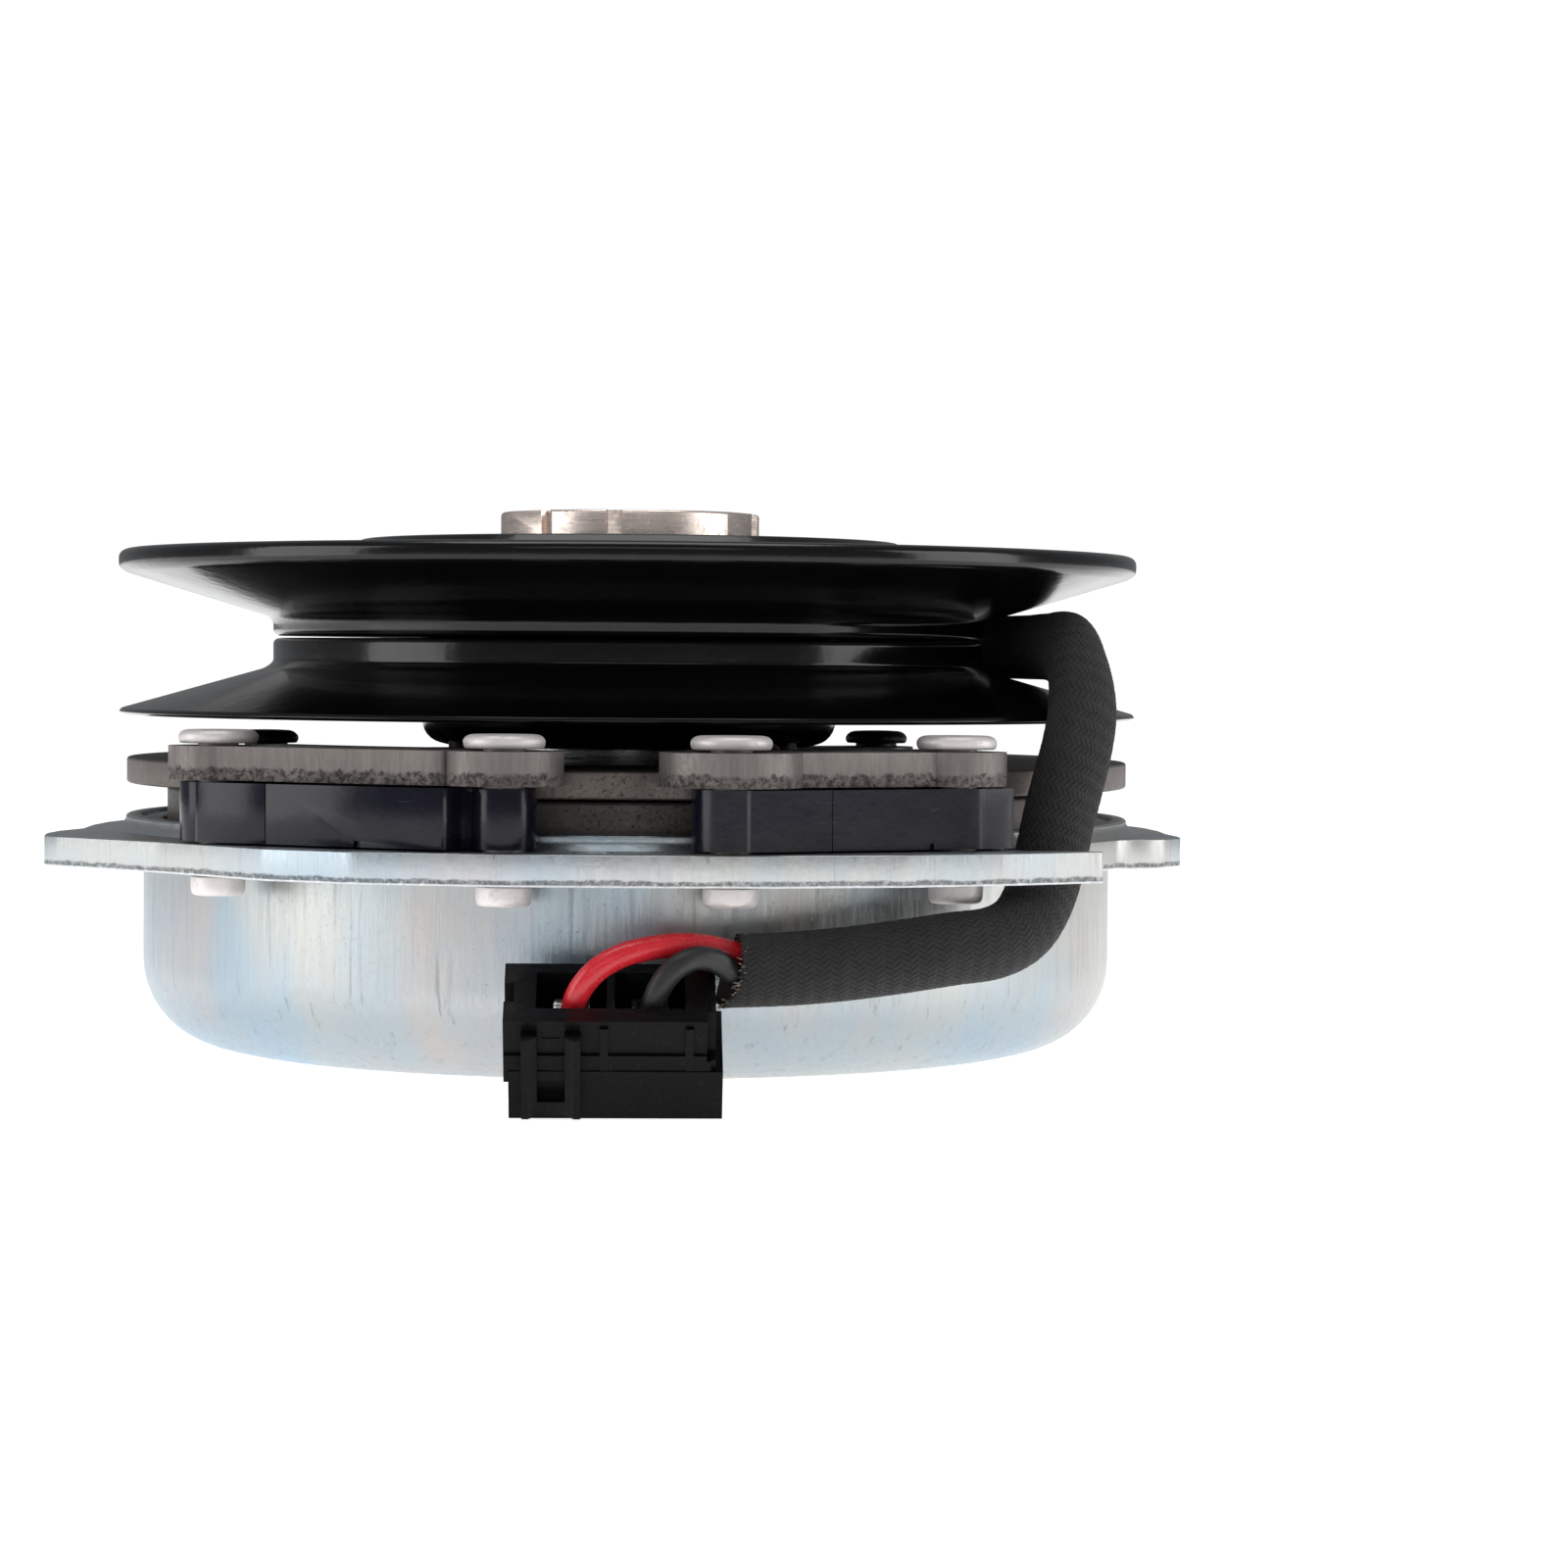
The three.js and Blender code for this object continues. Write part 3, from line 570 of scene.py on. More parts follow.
# w and t are half the width and half the thickness; the skirt stands 0.6 mm proud of them.
w = 12.9
t = 6.2
CAVITY_X = (-4.7, 4.9)
tilt = math.radians(30)
rise = (t + 0.6) * math.sin(tilt) + 0.02
lying = Matrix.Translation((-2.1, -75.6, rise)) @ Matrix.Rotation(tilt, 4, "X")
shell = block((-w, -t, 5), (w, t, 14), lying)
joined = [
    block((-w + 0.6, -t - 0.6, 0), (w + 0.9, t, 7), lying),
    block((-w + 0.1, -t - 0.4, 6.9), (w - 0.6, t, 9.2), lying),
    pressed([(-10.7, -8.4), (-9.9, -8.4), (-8.8, -7.6), (-8.8, -6.1), (-10.7, -6.1)], 1, 12.6, lying),
    pressed([(-5.4, -6.1), (-5.4, -7.6), (-4.3, -8.4), (-3.5, -8.4), (-3.5, -6.1)], 1, 12.6, lying),
    block((-9.4, -7.6, 1), (-4.8, -6.1, 3), lying),
    block((-1.2, -t - 0.5, 0.4), (-0.2, -t + 0.2, 13.2), lying),
    block((9.2, -t - 0.5, 0.4), (10.2, -t + 0.2, 13.2), lying),
]
hollows = [block((x - 4.3, -3.4, 2.2), (x + 4.3, 4.2, 16), lying) for x in CAVITY_X]
hollows += [
    block((-w - 1, -2, 9), (-w + 1.2, 2, 16), lying),
    block((w - 1.1, -7, 8.4), (w + 1, -4.2, 16), lying),
    block((-8.2, -9, 11.5), (-6, -6, 13.2), lying),
]
housing = machined("connector_shell", shell, joined, hollows, bevel=0.32, segments=3)
fitted(housing, "field", "nylon", "connector_housing")

nylon = Finish("black_nylon", roughness=0.42, Specular_IOR_Level=0.1)
where = nylon.place()
cloud = nylon.noise(where, 0.25, detail=3)
spark = nylon.noise(where, 5.5, detail=3, rough=0.7)
rubbing = nylon.noise(nylon.place(scale=(1, 0.4, 1)), 1.6, detail=6, rough=0.75)
rubbed = nylon.between(rubbing, 0.55, 0.8)
moulded = nylon.tint(cloud, (0.0015, 0.0015, 0.0018), (0.004, 0.004, 0.0045))
nylon.wears(
    Base_Color=nylon.tint(rubbed * 0.5, moulded, (0.03, 0.03, 0.031)),
    Roughness=0.28 + 0.22 * cloud + 0.15 * rubbed,
)
nylon.relief(spark * 0.35 + cloud, deep=0.04)
nylon.on(housing)

terminals = []
barrel_section = [
    (-2.2, -2.3), (-2.2, 2.2), (2.2, 2.2), (2.2, -2.3), (1.75, -2.3), (1.75, 1.8), (-1.75, 1.8),
    (-1.75, -2.3),
]
BARREL_LOW = 2.7
BARREL_HIGH = 11.5
for index, x in enumerate(CAVITY_X):
    barrel = pressed([(x + a, b) for a, b in barrel_section], BARREL_LOW, BARREL_HIGH, lying)
    # Only the long edges are rounded; the slots part the wings over the insulation from the box.
    long_edges = [e for e in barrel.edges if abs(e.calc_length() - (BARREL_HIGH - BARREL_LOW)) < 0.1]
    settings = {"affect": "EDGES", "segments": 2, "profile": 0.5, "material": -1}
    bmesh.ops.bevel(barrel, geom=long_edges, offset=0.35, **settings)
    slots = [
        block((x - 3, -3.4, 7.2), (x + 3, 0.4, 8.2), lying),
        block((x - 0.5, 1, 4), (x + 0.5, 3, 6), lying),
        block((x - 3, -3.4, 10.9), (x + 3, -1.2, 12), lying),
    ]
    terminal = machined(f"crimp_terminal_{index + 1}", barrel, cut=slots, bevel=0.09)
    terminals.append(fitted(terminal, "field", "tin", f"terminal_{index + 1}"))
tin = Finish("bright_tin", metallic=1.0, roughness=0.25)
grain = tin.noise(tin.place(scale=(1, 1, 0.2)), 4.0, detail=5, rough=0.7)
smudge = tin.noise(tin.place(), 0.8, detail=3)
tin.wears(
    Base_Color=tin.tint(smudge, (0.86, 0.84, 0.80), (0.66, 0.62, 0.57)),
    Roughness=tin.between(grain, 0.3, 0.75, 0.14, 0.38),
)
tin.relief(grain, deep=0.02)
tin.on(*terminals)

metres(RED_ROUTE)[0]
round(stations(red_line)[-1] / 1000, 4)
metres(red_line)
metres(BLACK_ROUTE)[0]
round(stations(black_line)[-1] / 1000, 4)
metres(black_line)


# ---------------------------------------------------------------- Grommet
# A moulded rubber block against the back of the cup, where the lead comes out of its wall.
# The lead leaves it upwards, and three shallow grooves are moulded across its back.
def arc(radius, degrees, x=0, y=0):
    """Points of a circle at some angles from +X."""
    turns = [math.radians(a) for a in degrees]
    return [(x + radius * math.cos(a), y + radius * math.sin(a)) for a in turns]


leaving = Matrix.Rotation(math.radians(-15), 4, "Z")
dome = arc(6.8, range(24, 158, 9), y=73.8)
grommet_body = pressed([(-7, 67), (7, 67), (7, 76.5), *dome, (-7, 76.5)], 15, 27.9, leaving)
grooves = [block((-8, 79.6, z), (8, 82, z + 0.9), leaving) for z in (18, 20.5, 23)]
cup_wall = rod(68.3, 10, 32, around=160)
grommet = machined("moulded_grommet", grommet_body, cut=[cup_wall, *grooves], bevel=0.4)
fitted(grommet, "field", "rubber", "lead_grommet")
rubber = Finish("black_rubber", roughness=0.7)
mottle = rubber.noise(rubber.place(), 1.3, detail=5, rough=0.65)
rubber.wears(
    Base_Color=rubber.tint(mottle, (0.009, 0.009, 0.009), (0.035, 0.034, 0.033)),
    Roughness=0.55 + 0.3 * mottle,
)
rubber.relief(mottle, deep=0.04)
rubber.on(grommet)


# ---------------------------------------------------------------- Floor and light
# A white sweep under the clutch, a tall soft light on each side, a wide one above and a
# faint one at the front, which the dark gloss hardly shows.
bm = bmesh.new()
bmesh.ops.create_grid(bm, x_segments=1, y_segments=1, size=2500)
bmesh.ops.translate(bm, vec=(0, 0, -0.02), verts=bm.verts)
floor = piece("floor", bm)
paper = Finish("white_paper", roughness=0.9, Emission_Color=(1, 1, 1, 1), Emission_Strength=0.85)
fleck = paper.noise(paper.place(), 0.002, detail=2)
paper.wears(Base_Color=paper.tint(fleck, (0.94, 0.94, 0.94), (0.965, 0.965, 0.965)))
paper.on(floor)

world = bpy.data.worlds.new("white_room")
bpy.context.scene.world = world
world.use_nodes = True
tree = world.node_tree
tree.nodes.clear()
ray = tree.nodes.new("ShaderNodeLightPath")
blend = tree.nodes.new("ShaderNodeMixShader")
tree.links.new(ray.outputs["Is Camera Ray"], blend.inputs[0])
# The clutch is lit by a faint cool room, and the camera sees a white one.
for index, colour, strength in ((1, (0.93, 0.96, 1, 1), 0.22), (2, (1, 1, 1, 1), 1.05)):
    room = tree.nodes.new("ShaderNodeBackground")
    room.inputs["Color"].default_value = colour
    room.inputs["Strength"].default_value = strength
    tree.links.new(room.outputs[0], blend.inputs[index])
out = tree.nodes.new("ShaderNodeOutputWorld")
tree.links.new(blend.outputs[0], out.inputs["Surface"])


def softbox(name, where, towards, width, height, power):
    """A rectangular light. Its places and sizes are metres."""
    light = bpy.data.objects.new(name, bpy.data.lights.new(name, "AREA"))
    light.data.shape = "RECTANGLE"
    light.data.size = width
    light.data.size_y = height
    light.data.energy = power
    way = Vector(towards) - Vector(where)
    light.matrix_world = Matrix.Translation(where) @ way.to_track_quat("-Z", "Y").to_matrix().to_4x4()
    bpy.context.scene.collection.objects.link(light)


softbox("left_light", (-0.85, -0.25, 0.30), (0, 0, 0.05), 0.5, 0.7, 3.2)
softbox("right_light", (0.88, -0.20, 0.30), (0, 0, 0.05), 0.5, 0.7, 3.2)
softbox("top_light", (0, 0.05, 0.95), (0, 0, 0.04), 0.7, 0.5, 3.0)
softbox("front_light", (0, -1.3, 0.75), (0, 0, 0.05), 1.2, 0.25, 1.6)
bpy.context.scene.view_settings.view_transform = "Standard"


# ---------------------------------------------------------------- Field cup
# A cup deep drawn from 2.6 mm mild steel, blue zinc plated. The draw leaves vertical
# scratches on its wall, and a shallow boss round the shaft keeps it off the surface.
def zinc_finish(name, upright=0.06, light=0.0):
    """Blue-passivated zinc: pale, faintly iridescent, with fine scratches along Z."""
    zinc = Finish(name, metallic=1.0, roughness=0.36)
    where = zinc.place()
    clouds = zinc.noise(where, 0.022, detail=3, rough=0.5, distortion=0.6)
    veils = zinc.noise(zinc.place(scale=(1, 1, 0.35), shift=(31, 5, 9)), 0.05, detail=4)
    drawn = zinc.noise(zinc.place(scale=(1, 1, upright)), 1.7, detail=7, rough=0.72)
    along = zinc.place(scale=(1, 1, upright * 0.5), shift=(3, 7, 2))
    deep_marks = zinc.between(zinc.noise(along, 0.8, detail=5, rough=0.8), 0.57, 0.72)
    pits = zinc.between(zinc.noise(where, 2.3, detail=4, rough=0.7), 0.60, 0.75)
    cool = zinc.tint(zinc.between(clouds, 0.35, 0.62), (0.36, 0.44, 0.50), (0.47, 0.475, 0.455))
    warm = zinc.tint(zinc.between(veils, 0.52, 0.72) * 0.55, cool, (0.54, 0.45, 0.40))
    blue = zinc.tint(zinc.between(veils, 0.46, 0.30) * 0.45, warm, (0.30, 0.46, 0.60))
    grey = zinc.tint(deep_marks * 0.6 + pits * 0.25, blue, (0.15, 0.15, 0.15))
    zinc.wears(
        Base_Color=zinc.tint(light, grey, (0.74, 0.75, 0.75)) if light else grey,
        Roughness=zinc.between(drawn, 0.3, 0.72, 0.26, 0.50),
    )
    zinc.relief(drawn + 0.4 * pits - 0.3 * deep_marks, deep=0.05)
    return zinc


CUP_R = 68
CUP_TOP = 33.7
CUP_WALL = 2.6
CUP_FLOOR = 2.2
CUP_HOLE_R = 24
cup = piece("drawn_field_cup", turned([
    (CUP_HOLE_R, 0, 0.3), (36.5, 0, 1.2), (40.5, CUP_FLOOR, 1.2), (CUP_R, CUP_FLOOR, 12),
    (CUP_R, CUP_TOP, 0.35), (CUP_R - CUP_WALL, CUP_TOP, 0.35),
    (CUP_R - CUP_WALL, CUP_FLOOR + CUP_WALL, 9.4),
    (39.6, CUP_FLOOR + CUP_WALL, 1), (35.6, CUP_WALL, 1), (CUP_HOLE_R, CUP_WALL, 0.3),
], around=192, fine=10))
fitted(cup, "field", "zinc", "field_cup")
zinc_finish("cup_zinc").on(cup)


# ---------------------------------------------------------------- Pole tube and coil
# The machined pole tube is welded in the middle of the cup and holds the lower bearing. The
# copper winding sits round it on a nylon former, and cast resin fills the gap to the cup.
pole_tube = piece("pole_tube", turned([
    (26.5, 2.9, 0.3), (35.2, 2.9, 0.4), (35.2, 32.2, 0.4), (31.3, 32.2, 0.3), (31.3, 23.9, 0),
    (32.4, 23.9, 0), (32.4, 22, 0), (31.3, 22, 0), (31.3, 7.4, 0.2), (26.5, 7.4, 0.3),
], around=96))
bobbin = piece("coil_former", turned([
    (35.6, 6.5, 0.2), (60, 6.5, 0.3), (60, 8, 0.3), (37.2, 8, 0.2),
    (37.2, 28, 0.2), (60, 28, 0.3), (60, 29.5, 0.3), (35.6, 29.5, 0.2),
], around=96))
winding = piece("wound_wire", turned([
    (37.5, 8.3, 0.4), (58.6, 8.3, 1), (58.6, 27.7, 1), (37.5, 27.7, 0.4),
], around=96))
resin_ring = piece("cast_resin", turned([
    (60.9, 8.6, 0), (63.2, 10.4, 0), (64.7, 12.6, 0), (65.05, 14.5, 0),
    (65.05, 24.3, 0.3), (60.4, 24.3, 0.3), (60.4, 8.7, 0.3),
], around=96))
fitted(pole_tube, "field", "brown_steel", "inner_pole")
fitted(bobbin, "field", "nylon", "coil_bobbin")
fitted(winding, "field", "copper", "coil_winding")
fitted(resin_ring, "field", "resin", "coil_potting")
nylon.on(bobbin)

copper = Finish("enamelled_wire", metallic=0.9, roughness=0.35)
height = copper.part(copper.place(), "Z")
WOUND_WIRE_D = 0.55
turns = (height * (math.pi / WOUND_WIRE_D)).only("SINE").only("ABSOLUTE")
uneven = copper.noise(copper.place(), 0.6, detail=3)
# The crowns of the turns are painted lighter and the grooves between them darker, painted light and shade that the
# noise varies at random.
copper.wears(
    Base_Color=copper.tint(turns * uneven, (0.16, 0.05, 0.02), (0.55, 0.22, 0.08)),
    Roughness=0.3 + 0.2 * uneven,
)
copper.relief(turns, deep=0.25)
copper.on(winding)
resin = Finish("cast_resin", roughness=0.45)
flow = resin.noise(resin.place(), 0.3, detail=4)
resin.wears(
    Base_Color=resin.tint(flow, (0.018, 0.013, 0.010), (0.06, 0.045, 0.035)),
    Roughness=0.3 + 0.3 * flow,
)
resin.relief(flow, deep=0.1)
resin.on(resin_ring)


BROWN = ((0.105, 0.092, 0.087), (0.20, 0.178, 0.168))


def oxide_finish(name, specks=0.35, base=BROWN, torn=None):
    """Bare steel with a thin brown oxide. torn is the height where a sheared edge breaks away."""
    steel = Finish(name, metallic=0.75, roughness=0.5)
    where = steel.place()
    clouds = steel.noise(where, 0.11, detail=4)
    fine = steel.noise(where, 1.9, detail=6, rough=0.72)
    speck = steel.between(steel.noise(where, 2.6, detail=5, rough=0.8), 0.60, 0.70)
    moved = steel.place(shift=(9, 4, 1))
    dark = steel.between(steel.noise(moved, 1.8, detail=6, rough=0.8), 0.56, 0.68)
    colour = steel.tint(steel.between(clouds * 0.6 + fine * 0.4, 0.36, 0.62), *base)
    colour = steel.tint(speck * specks, colour, (0.42, 0.37, 0.34))
    colour = steel.tint(dark * 0.45, colour, (0.055, 0.045, 0.042))
    rough = steel.between(fine, 0.3, 0.7, 0.36, 0.62)
    relief = fine + speck * 0.4 - dark * 0.6
    if torn is not None:
        edge = steel.add("ShaderNodeTexCoord", out="Normal")
        side = steel.between(steel.part(edge, "Z").only("ABSOLUTE"), 0.75, 0.45)
        z = steel.part(where, "Z")
        ragged = steel.noise(steel.place(scale=(1, 1, 0.6)), 0.55, detail=5, rough=0.7)
        broken = steel.between(z + (ragged - 0.5) * 2.2, torn + 0.25, torn - 0.25) * side
        drag = steel.noise(steel.place(scale=(1, 1, 0.12)), 1.6, detail=6, rough=0.75)
        torn_spots = steel.between(steel.noise(where, 1.3, detail=7, rough=0.85), 0.50, 0.60)
        dragged = steel.between(drag, 0.35, 0.7)
        bright = steel.tint(dragged, (0.15, 0.133, 0.126), (0.235, 0.21, 0.198))
        colour = steel.tint(side * (1 - broken) * 0.7, colour, bright)
        colour = steel.tint(broken * torn_spots * 0.85, colour, (0.028, 0.023, 0.022))
        relief = relief * (0.35 + 0.65 * broken) - broken * torn_spots * 1.6
        rough = rough + broken * 0.18
    steel.wears(Base_Color=colour, Roughness=rough)
    steel.relief(relief, deep=0.07)
    return steel


oxide = oxide_finish("oxide_steel")
oxide.on(pole_tube)


# ---------------------------------------------------------------- Lower bearing and clips
# A sealed ball bearing of ground steel carries the hub in the pole tube. An internal circlip
# of spring steel keeps it in the tube, and an external one keeps the hub in it.
HUB_R = 17.5
SEAT_R = HUB_R + 0.3


def ring_of(name, inner, outer, low, high, ease=0.45):
    """A plain ring with eased corners."""
    corners = [(inner, low, ease), (outer, low, ease), (outer, high, ease), (inner, high, ease)]
    return piece(name, turned(corners, around=96))


def sealed_bearing(prefix, low, high, outer, ball_in, ball_out, outer_body):
    """Two races, and one ring for the shields with the balls and the cage behind them."""
    race = ring_of(prefix + "_race_outer", ball_out, outer, low, high)
    cone = ring_of(prefix + "_race_inner", SEAT_R, ball_in, low, high)
    lip = ball_in + 0.3
    bead = ball_out - 0.3
    below = [
        (lip, low + 0.6, 0.15), (lip + 0.8, low + 0.9, 0.2), (bead - 0.6, low + 0.6, 0.3),
        (bead, low + 0.8, 0.1),
    ]
    above = [(r, low + high - z, rounding) for r, z, rounding in reversed(below)]
    shield = piece(prefix + "_shield", turned(below + above, around=96))
    fitted(race, outer_body, "bearing_steel", prefix + "_outer_ring")
    fitted(cone, "rotor", "bearing_steel", prefix + "_inner_ring")
    fitted(shield, outer_body, "seal", prefix + "_seal")
    rubber.on(shield)
    return race, cone


ground_steel = Finish("ground_steel", metallic=1.0, roughness=0.22)
where = ground_steel.place()
lines = ground_steel.noise(ground_steel.place(scale=(0.03, 0.03, 1)), 3.0, detail=5, rough=0.7)
haze = ground_steel.noise(where, 0.15, detail=3)
ground_steel.wears(
    Base_Color=ground_steel.tint(haze, (0.50, 0.50, 0.51), (0.66, 0.65, 0.64)),
    Roughness=ground_steel.between(lines, 0.3, 0.7, 0.14, 0.34),
)
ground_steel.relief(lines, deep=0.015)
ground_steel.on(*sealed_bearing("field_bearing", 7.7, 21.7, 31, 21, 27.6, "field"))


def arc_band(inner, outer, start, end, steps):
    """The outline of part of a ring, between two angles from +X."""
    degrees = [start + (end - start) * k / steps for k in range(steps + 1)]
    return arc(outer, degrees) + arc(inner, degrees[::-1])


def open_ring(name, inner, outer, start, end, low, high, eyes):
    """A circlip with a round eye near each end, so far from the middle of its band."""
    lugs = []
    holes = []
    for angle in (start + 3.5, end - 3.5):
        a = math.radians(angle)
        r = (inner + outer) / 2 + eyes
        lugs.append(rod(1.5, low, high, r * math.cos(a), r * math.sin(a), 24))
        holes.append(rod(0.6, low - 1, high + 1, r * math.cos(a), r * math.sin(a), 20))
    return machined(name, pressed(arc_band(inner, outer, start, end, 64), low, high), lugs, holes, bevel=0.15)


circlip = open_ring("field_circlip", 28.6, 32.1, 20, 340, 22.2, 23.7, -0.3)
fitted(circlip, "field", "spring", "bearing_circlip")
shaft_clip = open_ring("hub_clip", 16.6, 20.2, 110, 430, 5.9, 7.3, 0.2)
fitted(shaft_clip, "rotor", "spring", "hub_snap_ring")
spring_steel = Finish("blued_spring_steel", metallic=0.9, roughness=0.35)
where = spring_steel.place()
rolled = spring_steel.noise(spring_steel.place(scale=(0.2, 1, 1)), 1.6, detail=6, rough=0.7)
heat = spring_steel.noise(where, 0.08, detail=2)
spring_steel.wears(
    Base_Color=spring_steel.tint(heat, (0.07, 0.075, 0.09), (0.16, 0.15, 0.15)),
    Roughness=spring_steel.between(rolled, 0.3, 0.7, 0.25, 0.5),
)
spring_steel.relief(rolled, deep=0.02)
spring_steel.on(circlip, shaft_clip)


# ---------------------------------------------------------------- Mounting plate
# A 4 mm blanked steel plate pressed and welded round the cup, zinc plated with it. A raised
# collar stands round the cup, two ears hold the clutch still and a notch lets the lead through.
PLATE_LOW = 28.2
PLATE_HIGH = 32.2
COLLAR_R = 70.4
COLLAR_HIGH = 34.2
RIVET_R = 74.2
RIVET_HOLE = 2.95
# For each brake unit: the azimuth it faces, and the azimuths of its two rivets.
BRAKES = {"left": (210.3, (225.3, 192)), "right": (155.6, (170.1, 145.8))}
SPARE_HOLES = ((-4.4, -74.6), (-8.5, 75), (8.5, 75))
THROUGH = (20, 60)


def around_axis(radius, azimuth):
    """A point at an azimuth counted from the back, +Y, towards +X."""
    a = math.radians(azimuth)
    return radius * math.sin(a), radius * math.cos(a)


front_edge = [
    (-78.2, -27.5), (-77.5, -34.8), (-75.4, -37.4), (-60.5, -51.5), (-45.5, -69), (-34, -76),
    (-17, -80.2), (0, -81),
    (18, -80.4), (34, -77), (47, -71.5), (58.6, -65), (60.6, -64), (59.4, -63), (50.4, -63.2),
    (47.7, -60.8),
    (48.2, -52.8), (50.2, -51.6), (54.4, -47.2), (60.2, -39.8), (64.4, -32.6), (66.2, -29.6),
    (68, -28.6), (70.6, -28),
    (72.8, -26.8), (75.8, -22.2), (76, -18), (75.4, -10),
]
back_edge = arc(75.6, range(0, 49, 8)) + arc(81, range(58, 123, 8)) + arc(75.6, range(132, 181, 8))
left_edge = [(-75.4, -12), (-77.6, -20)]
blank = bmesh.new()
rim = [blank.verts.new((x, y, PLATE_LOW)) for x, y in front_edge + back_edge + left_edge]
for here, ahead in zip(rim, rim[1:] + rim[:1]):
    blank.edges.new((here, ahead))
rounding = {"segments": 4, "profile": 0.5, "material": -1, "clamp_overlap": True}
bmesh.ops.bevel(blank, geom=rim, offset=0.9, affect="VERTICES", **rounding)
bmesh.ops.edgeloop_fill(blank, edges=blank.edges[:])
grown = bmesh.ops.extrude_face_region(blank, geom=blank.faces[:])["geom"]
top = [g for g in grown if isinstance(g, bmesh.types.BMVert)]
bmesh.ops.translate(blank, vec=(0, 0, PLATE_HIGH - PLATE_LOW), verts=top)
bmesh.ops.recalc_face_normals(blank, faces=blank.faces)
# The die rolls the upper corner over; the lower one is left sharp.
upper = [e for e in blank.edges if all(v.co.z > PLATE_HIGH - 0.1 for v in e.verts)]
bmesh.ops.bevel(blank, geom=upper, offset=0.5, affect="EDGES", **rounding)

holes = [rod(CUP_R + 0.4, *THROUGH, around=192)]
for _, rivets in BRAKES.values():
    holes += [rod(RIVET_HOLE, *THROUGH, *around_axis(RIVET_R, azimuth), 32) for azimuth in rivets]
holes += [rod(2.7, *THROUGH, x, y, 32) for x, y in SPARE_HOLES]
# A slot from the back edge lets the lead up from its grommet.
lead_x, lead_y = SLEEVE_ROUTE[0][:2]
slot_r = 5.6
holes.append(rod(slot_r, *THROUGH, lead_x, lead_y))
holes.append(block((lead_x - slot_r, lead_y, THROUGH[0]), (lead_x + slot_r, lead_y + 12, THROUGH[1])))
collar = turned([
    (CUP_R - 1, PLATE_LOW + 1, 0), (COLLAR_R + 1.2, PLATE_LOW + 1, 0),
    (COLLAR_R + 1.2, PLATE_HIGH + 0.02, 0), (COLLAR_R + 0.02, PLATE_HIGH + 1.1, 0.5),
    (COLLAR_R, COLLAR_HIGH, 0.5), (CUP_R - 1, COLLAR_HIGH, 0),
], around=192)
plate = machined("mounting_ring_plate", blank, join=[collar], cut=holes, bevel=0.12)
fitted(plate, "field", "zinc", "mounting_plate")

plate_zinc = zinc_finish("plate_zinc", upright=0.10, light=0.12)
where = plate_zinc.place()
facing = plate_zinc.part(plate_zinc.add("ShaderNodeTexCoord", out="Normal"), "Z").only("ABSOLUTE")
edge = plate_zinc.between(facing, 0.6, 0.3)
z = plate_zinc.part(where, "Z")
wobble = plate_zinc.noise(plate_zinc.place(scale=(1, 1, 0.4)), 0.4, detail=5, rough=0.7)
# The lower quarter of the sheared edge is torn, and a bright burr runs along its very bottom.
torn = plate_zinc.between(z + (wobble - 0.5) * 0.9, PLATE_LOW + 0.95, PLATE_LOW + 0.65) * edge
burr = plate_zinc.between(z + (wobble - 0.5) * 0.2, PLATE_LOW + 0.28, PLATE_LOW + 0.2) * edge
crumbs = plate_zinc.between(plate_zinc.noise(where, 1.5, detail=6, rough=0.8), 0.42, 0.60)
broken = plate_zinc.tint(torn * crumbs * 0.8, plate_zinc.so_far("Base Color"), (0.13, 0.13, 0.135))
plate_zinc.wears(
    Base_Color=plate_zinc.tint(burr, broken, (0.86, 0.88, 0.90)),
    Roughness=plate_zinc.so_far("Roughness") + torn * 0.25,
)
shear = plate_zinc.noise(plate_zinc.place(scale=(1, 1, 0.08)), 2.2, detail=6, rough=0.75)
flat = plate_zinc.noise(where, 1.4, detail=5)
plate_zinc.relief(shear * edge * 0.8 + torn * crumbs * (-1.6) + flat * 0.5, deep=0.06)
plate_zinc.on(plate)


# ---------------------------------------------------------------- Brake units
# Each unit is a moulded plastic block that carries a magnet, under a sheared steel pole plate
# that reaches over the armature. Two rivets hold the stack to the mounting plate.
HOUSING_LOW = 32.5
HOUSING_HIGH = 40.1
POLE_LOW = 40.4
POLE_HIGH = 44.7
FACE = 77.8
HALF = 19
# The radii of the housing's bosses and of the pole plate's lobes, rivet by rivet.
BOSSES = {"left": (4.9, 4.1), "right": (5, 5)}
LOBES = {"left": (6.4, 7.4), "right": (9, 6.4)}

gloss = {"Coat_Weight": 0.03, "Coat_Roughness": 0.08, "Specular_IOR_Level": 0.28}
plastic = Finish("blue_black_plastic", roughness=0.2, **gloss)
where = plastic.place()
waves = plastic.noise(plastic.place(scale=(1, 1, 0.6)), 0.10, detail=2)
sinks = plastic.noise(where, 0.35, detail=3)
rubbing = plastic.noise(plastic.place(scale=(0.15, 0.15, 1.2)), 2.2, detail=6, rough=0.75)
rubs = plastic.between(rubbing, 0.60, 0.78)
dust = plastic.between(plastic.noise(where, 4.5, detail=4, rough=0.8), 0.66, 0.74)
body_colour = plastic.tint(waves, (0.0035, 0.0032, 0.008), (0.008, 0.0075, 0.016))
plastic.wears(
    Base_Color=plastic.tint(rubs * 0.25 + dust * 0.2, body_colour, (0.16, 0.16, 0.2)),
    Roughness=0.14 + 0.12 * sinks + 0.2 * rubs,
)
plastic.relief(waves + 0.35 * sinks, deep=0.12)

pole_steel = oxide_finish("sheared_pole_steel", specks=0.25, torn=POLE_LOW + 1.5)

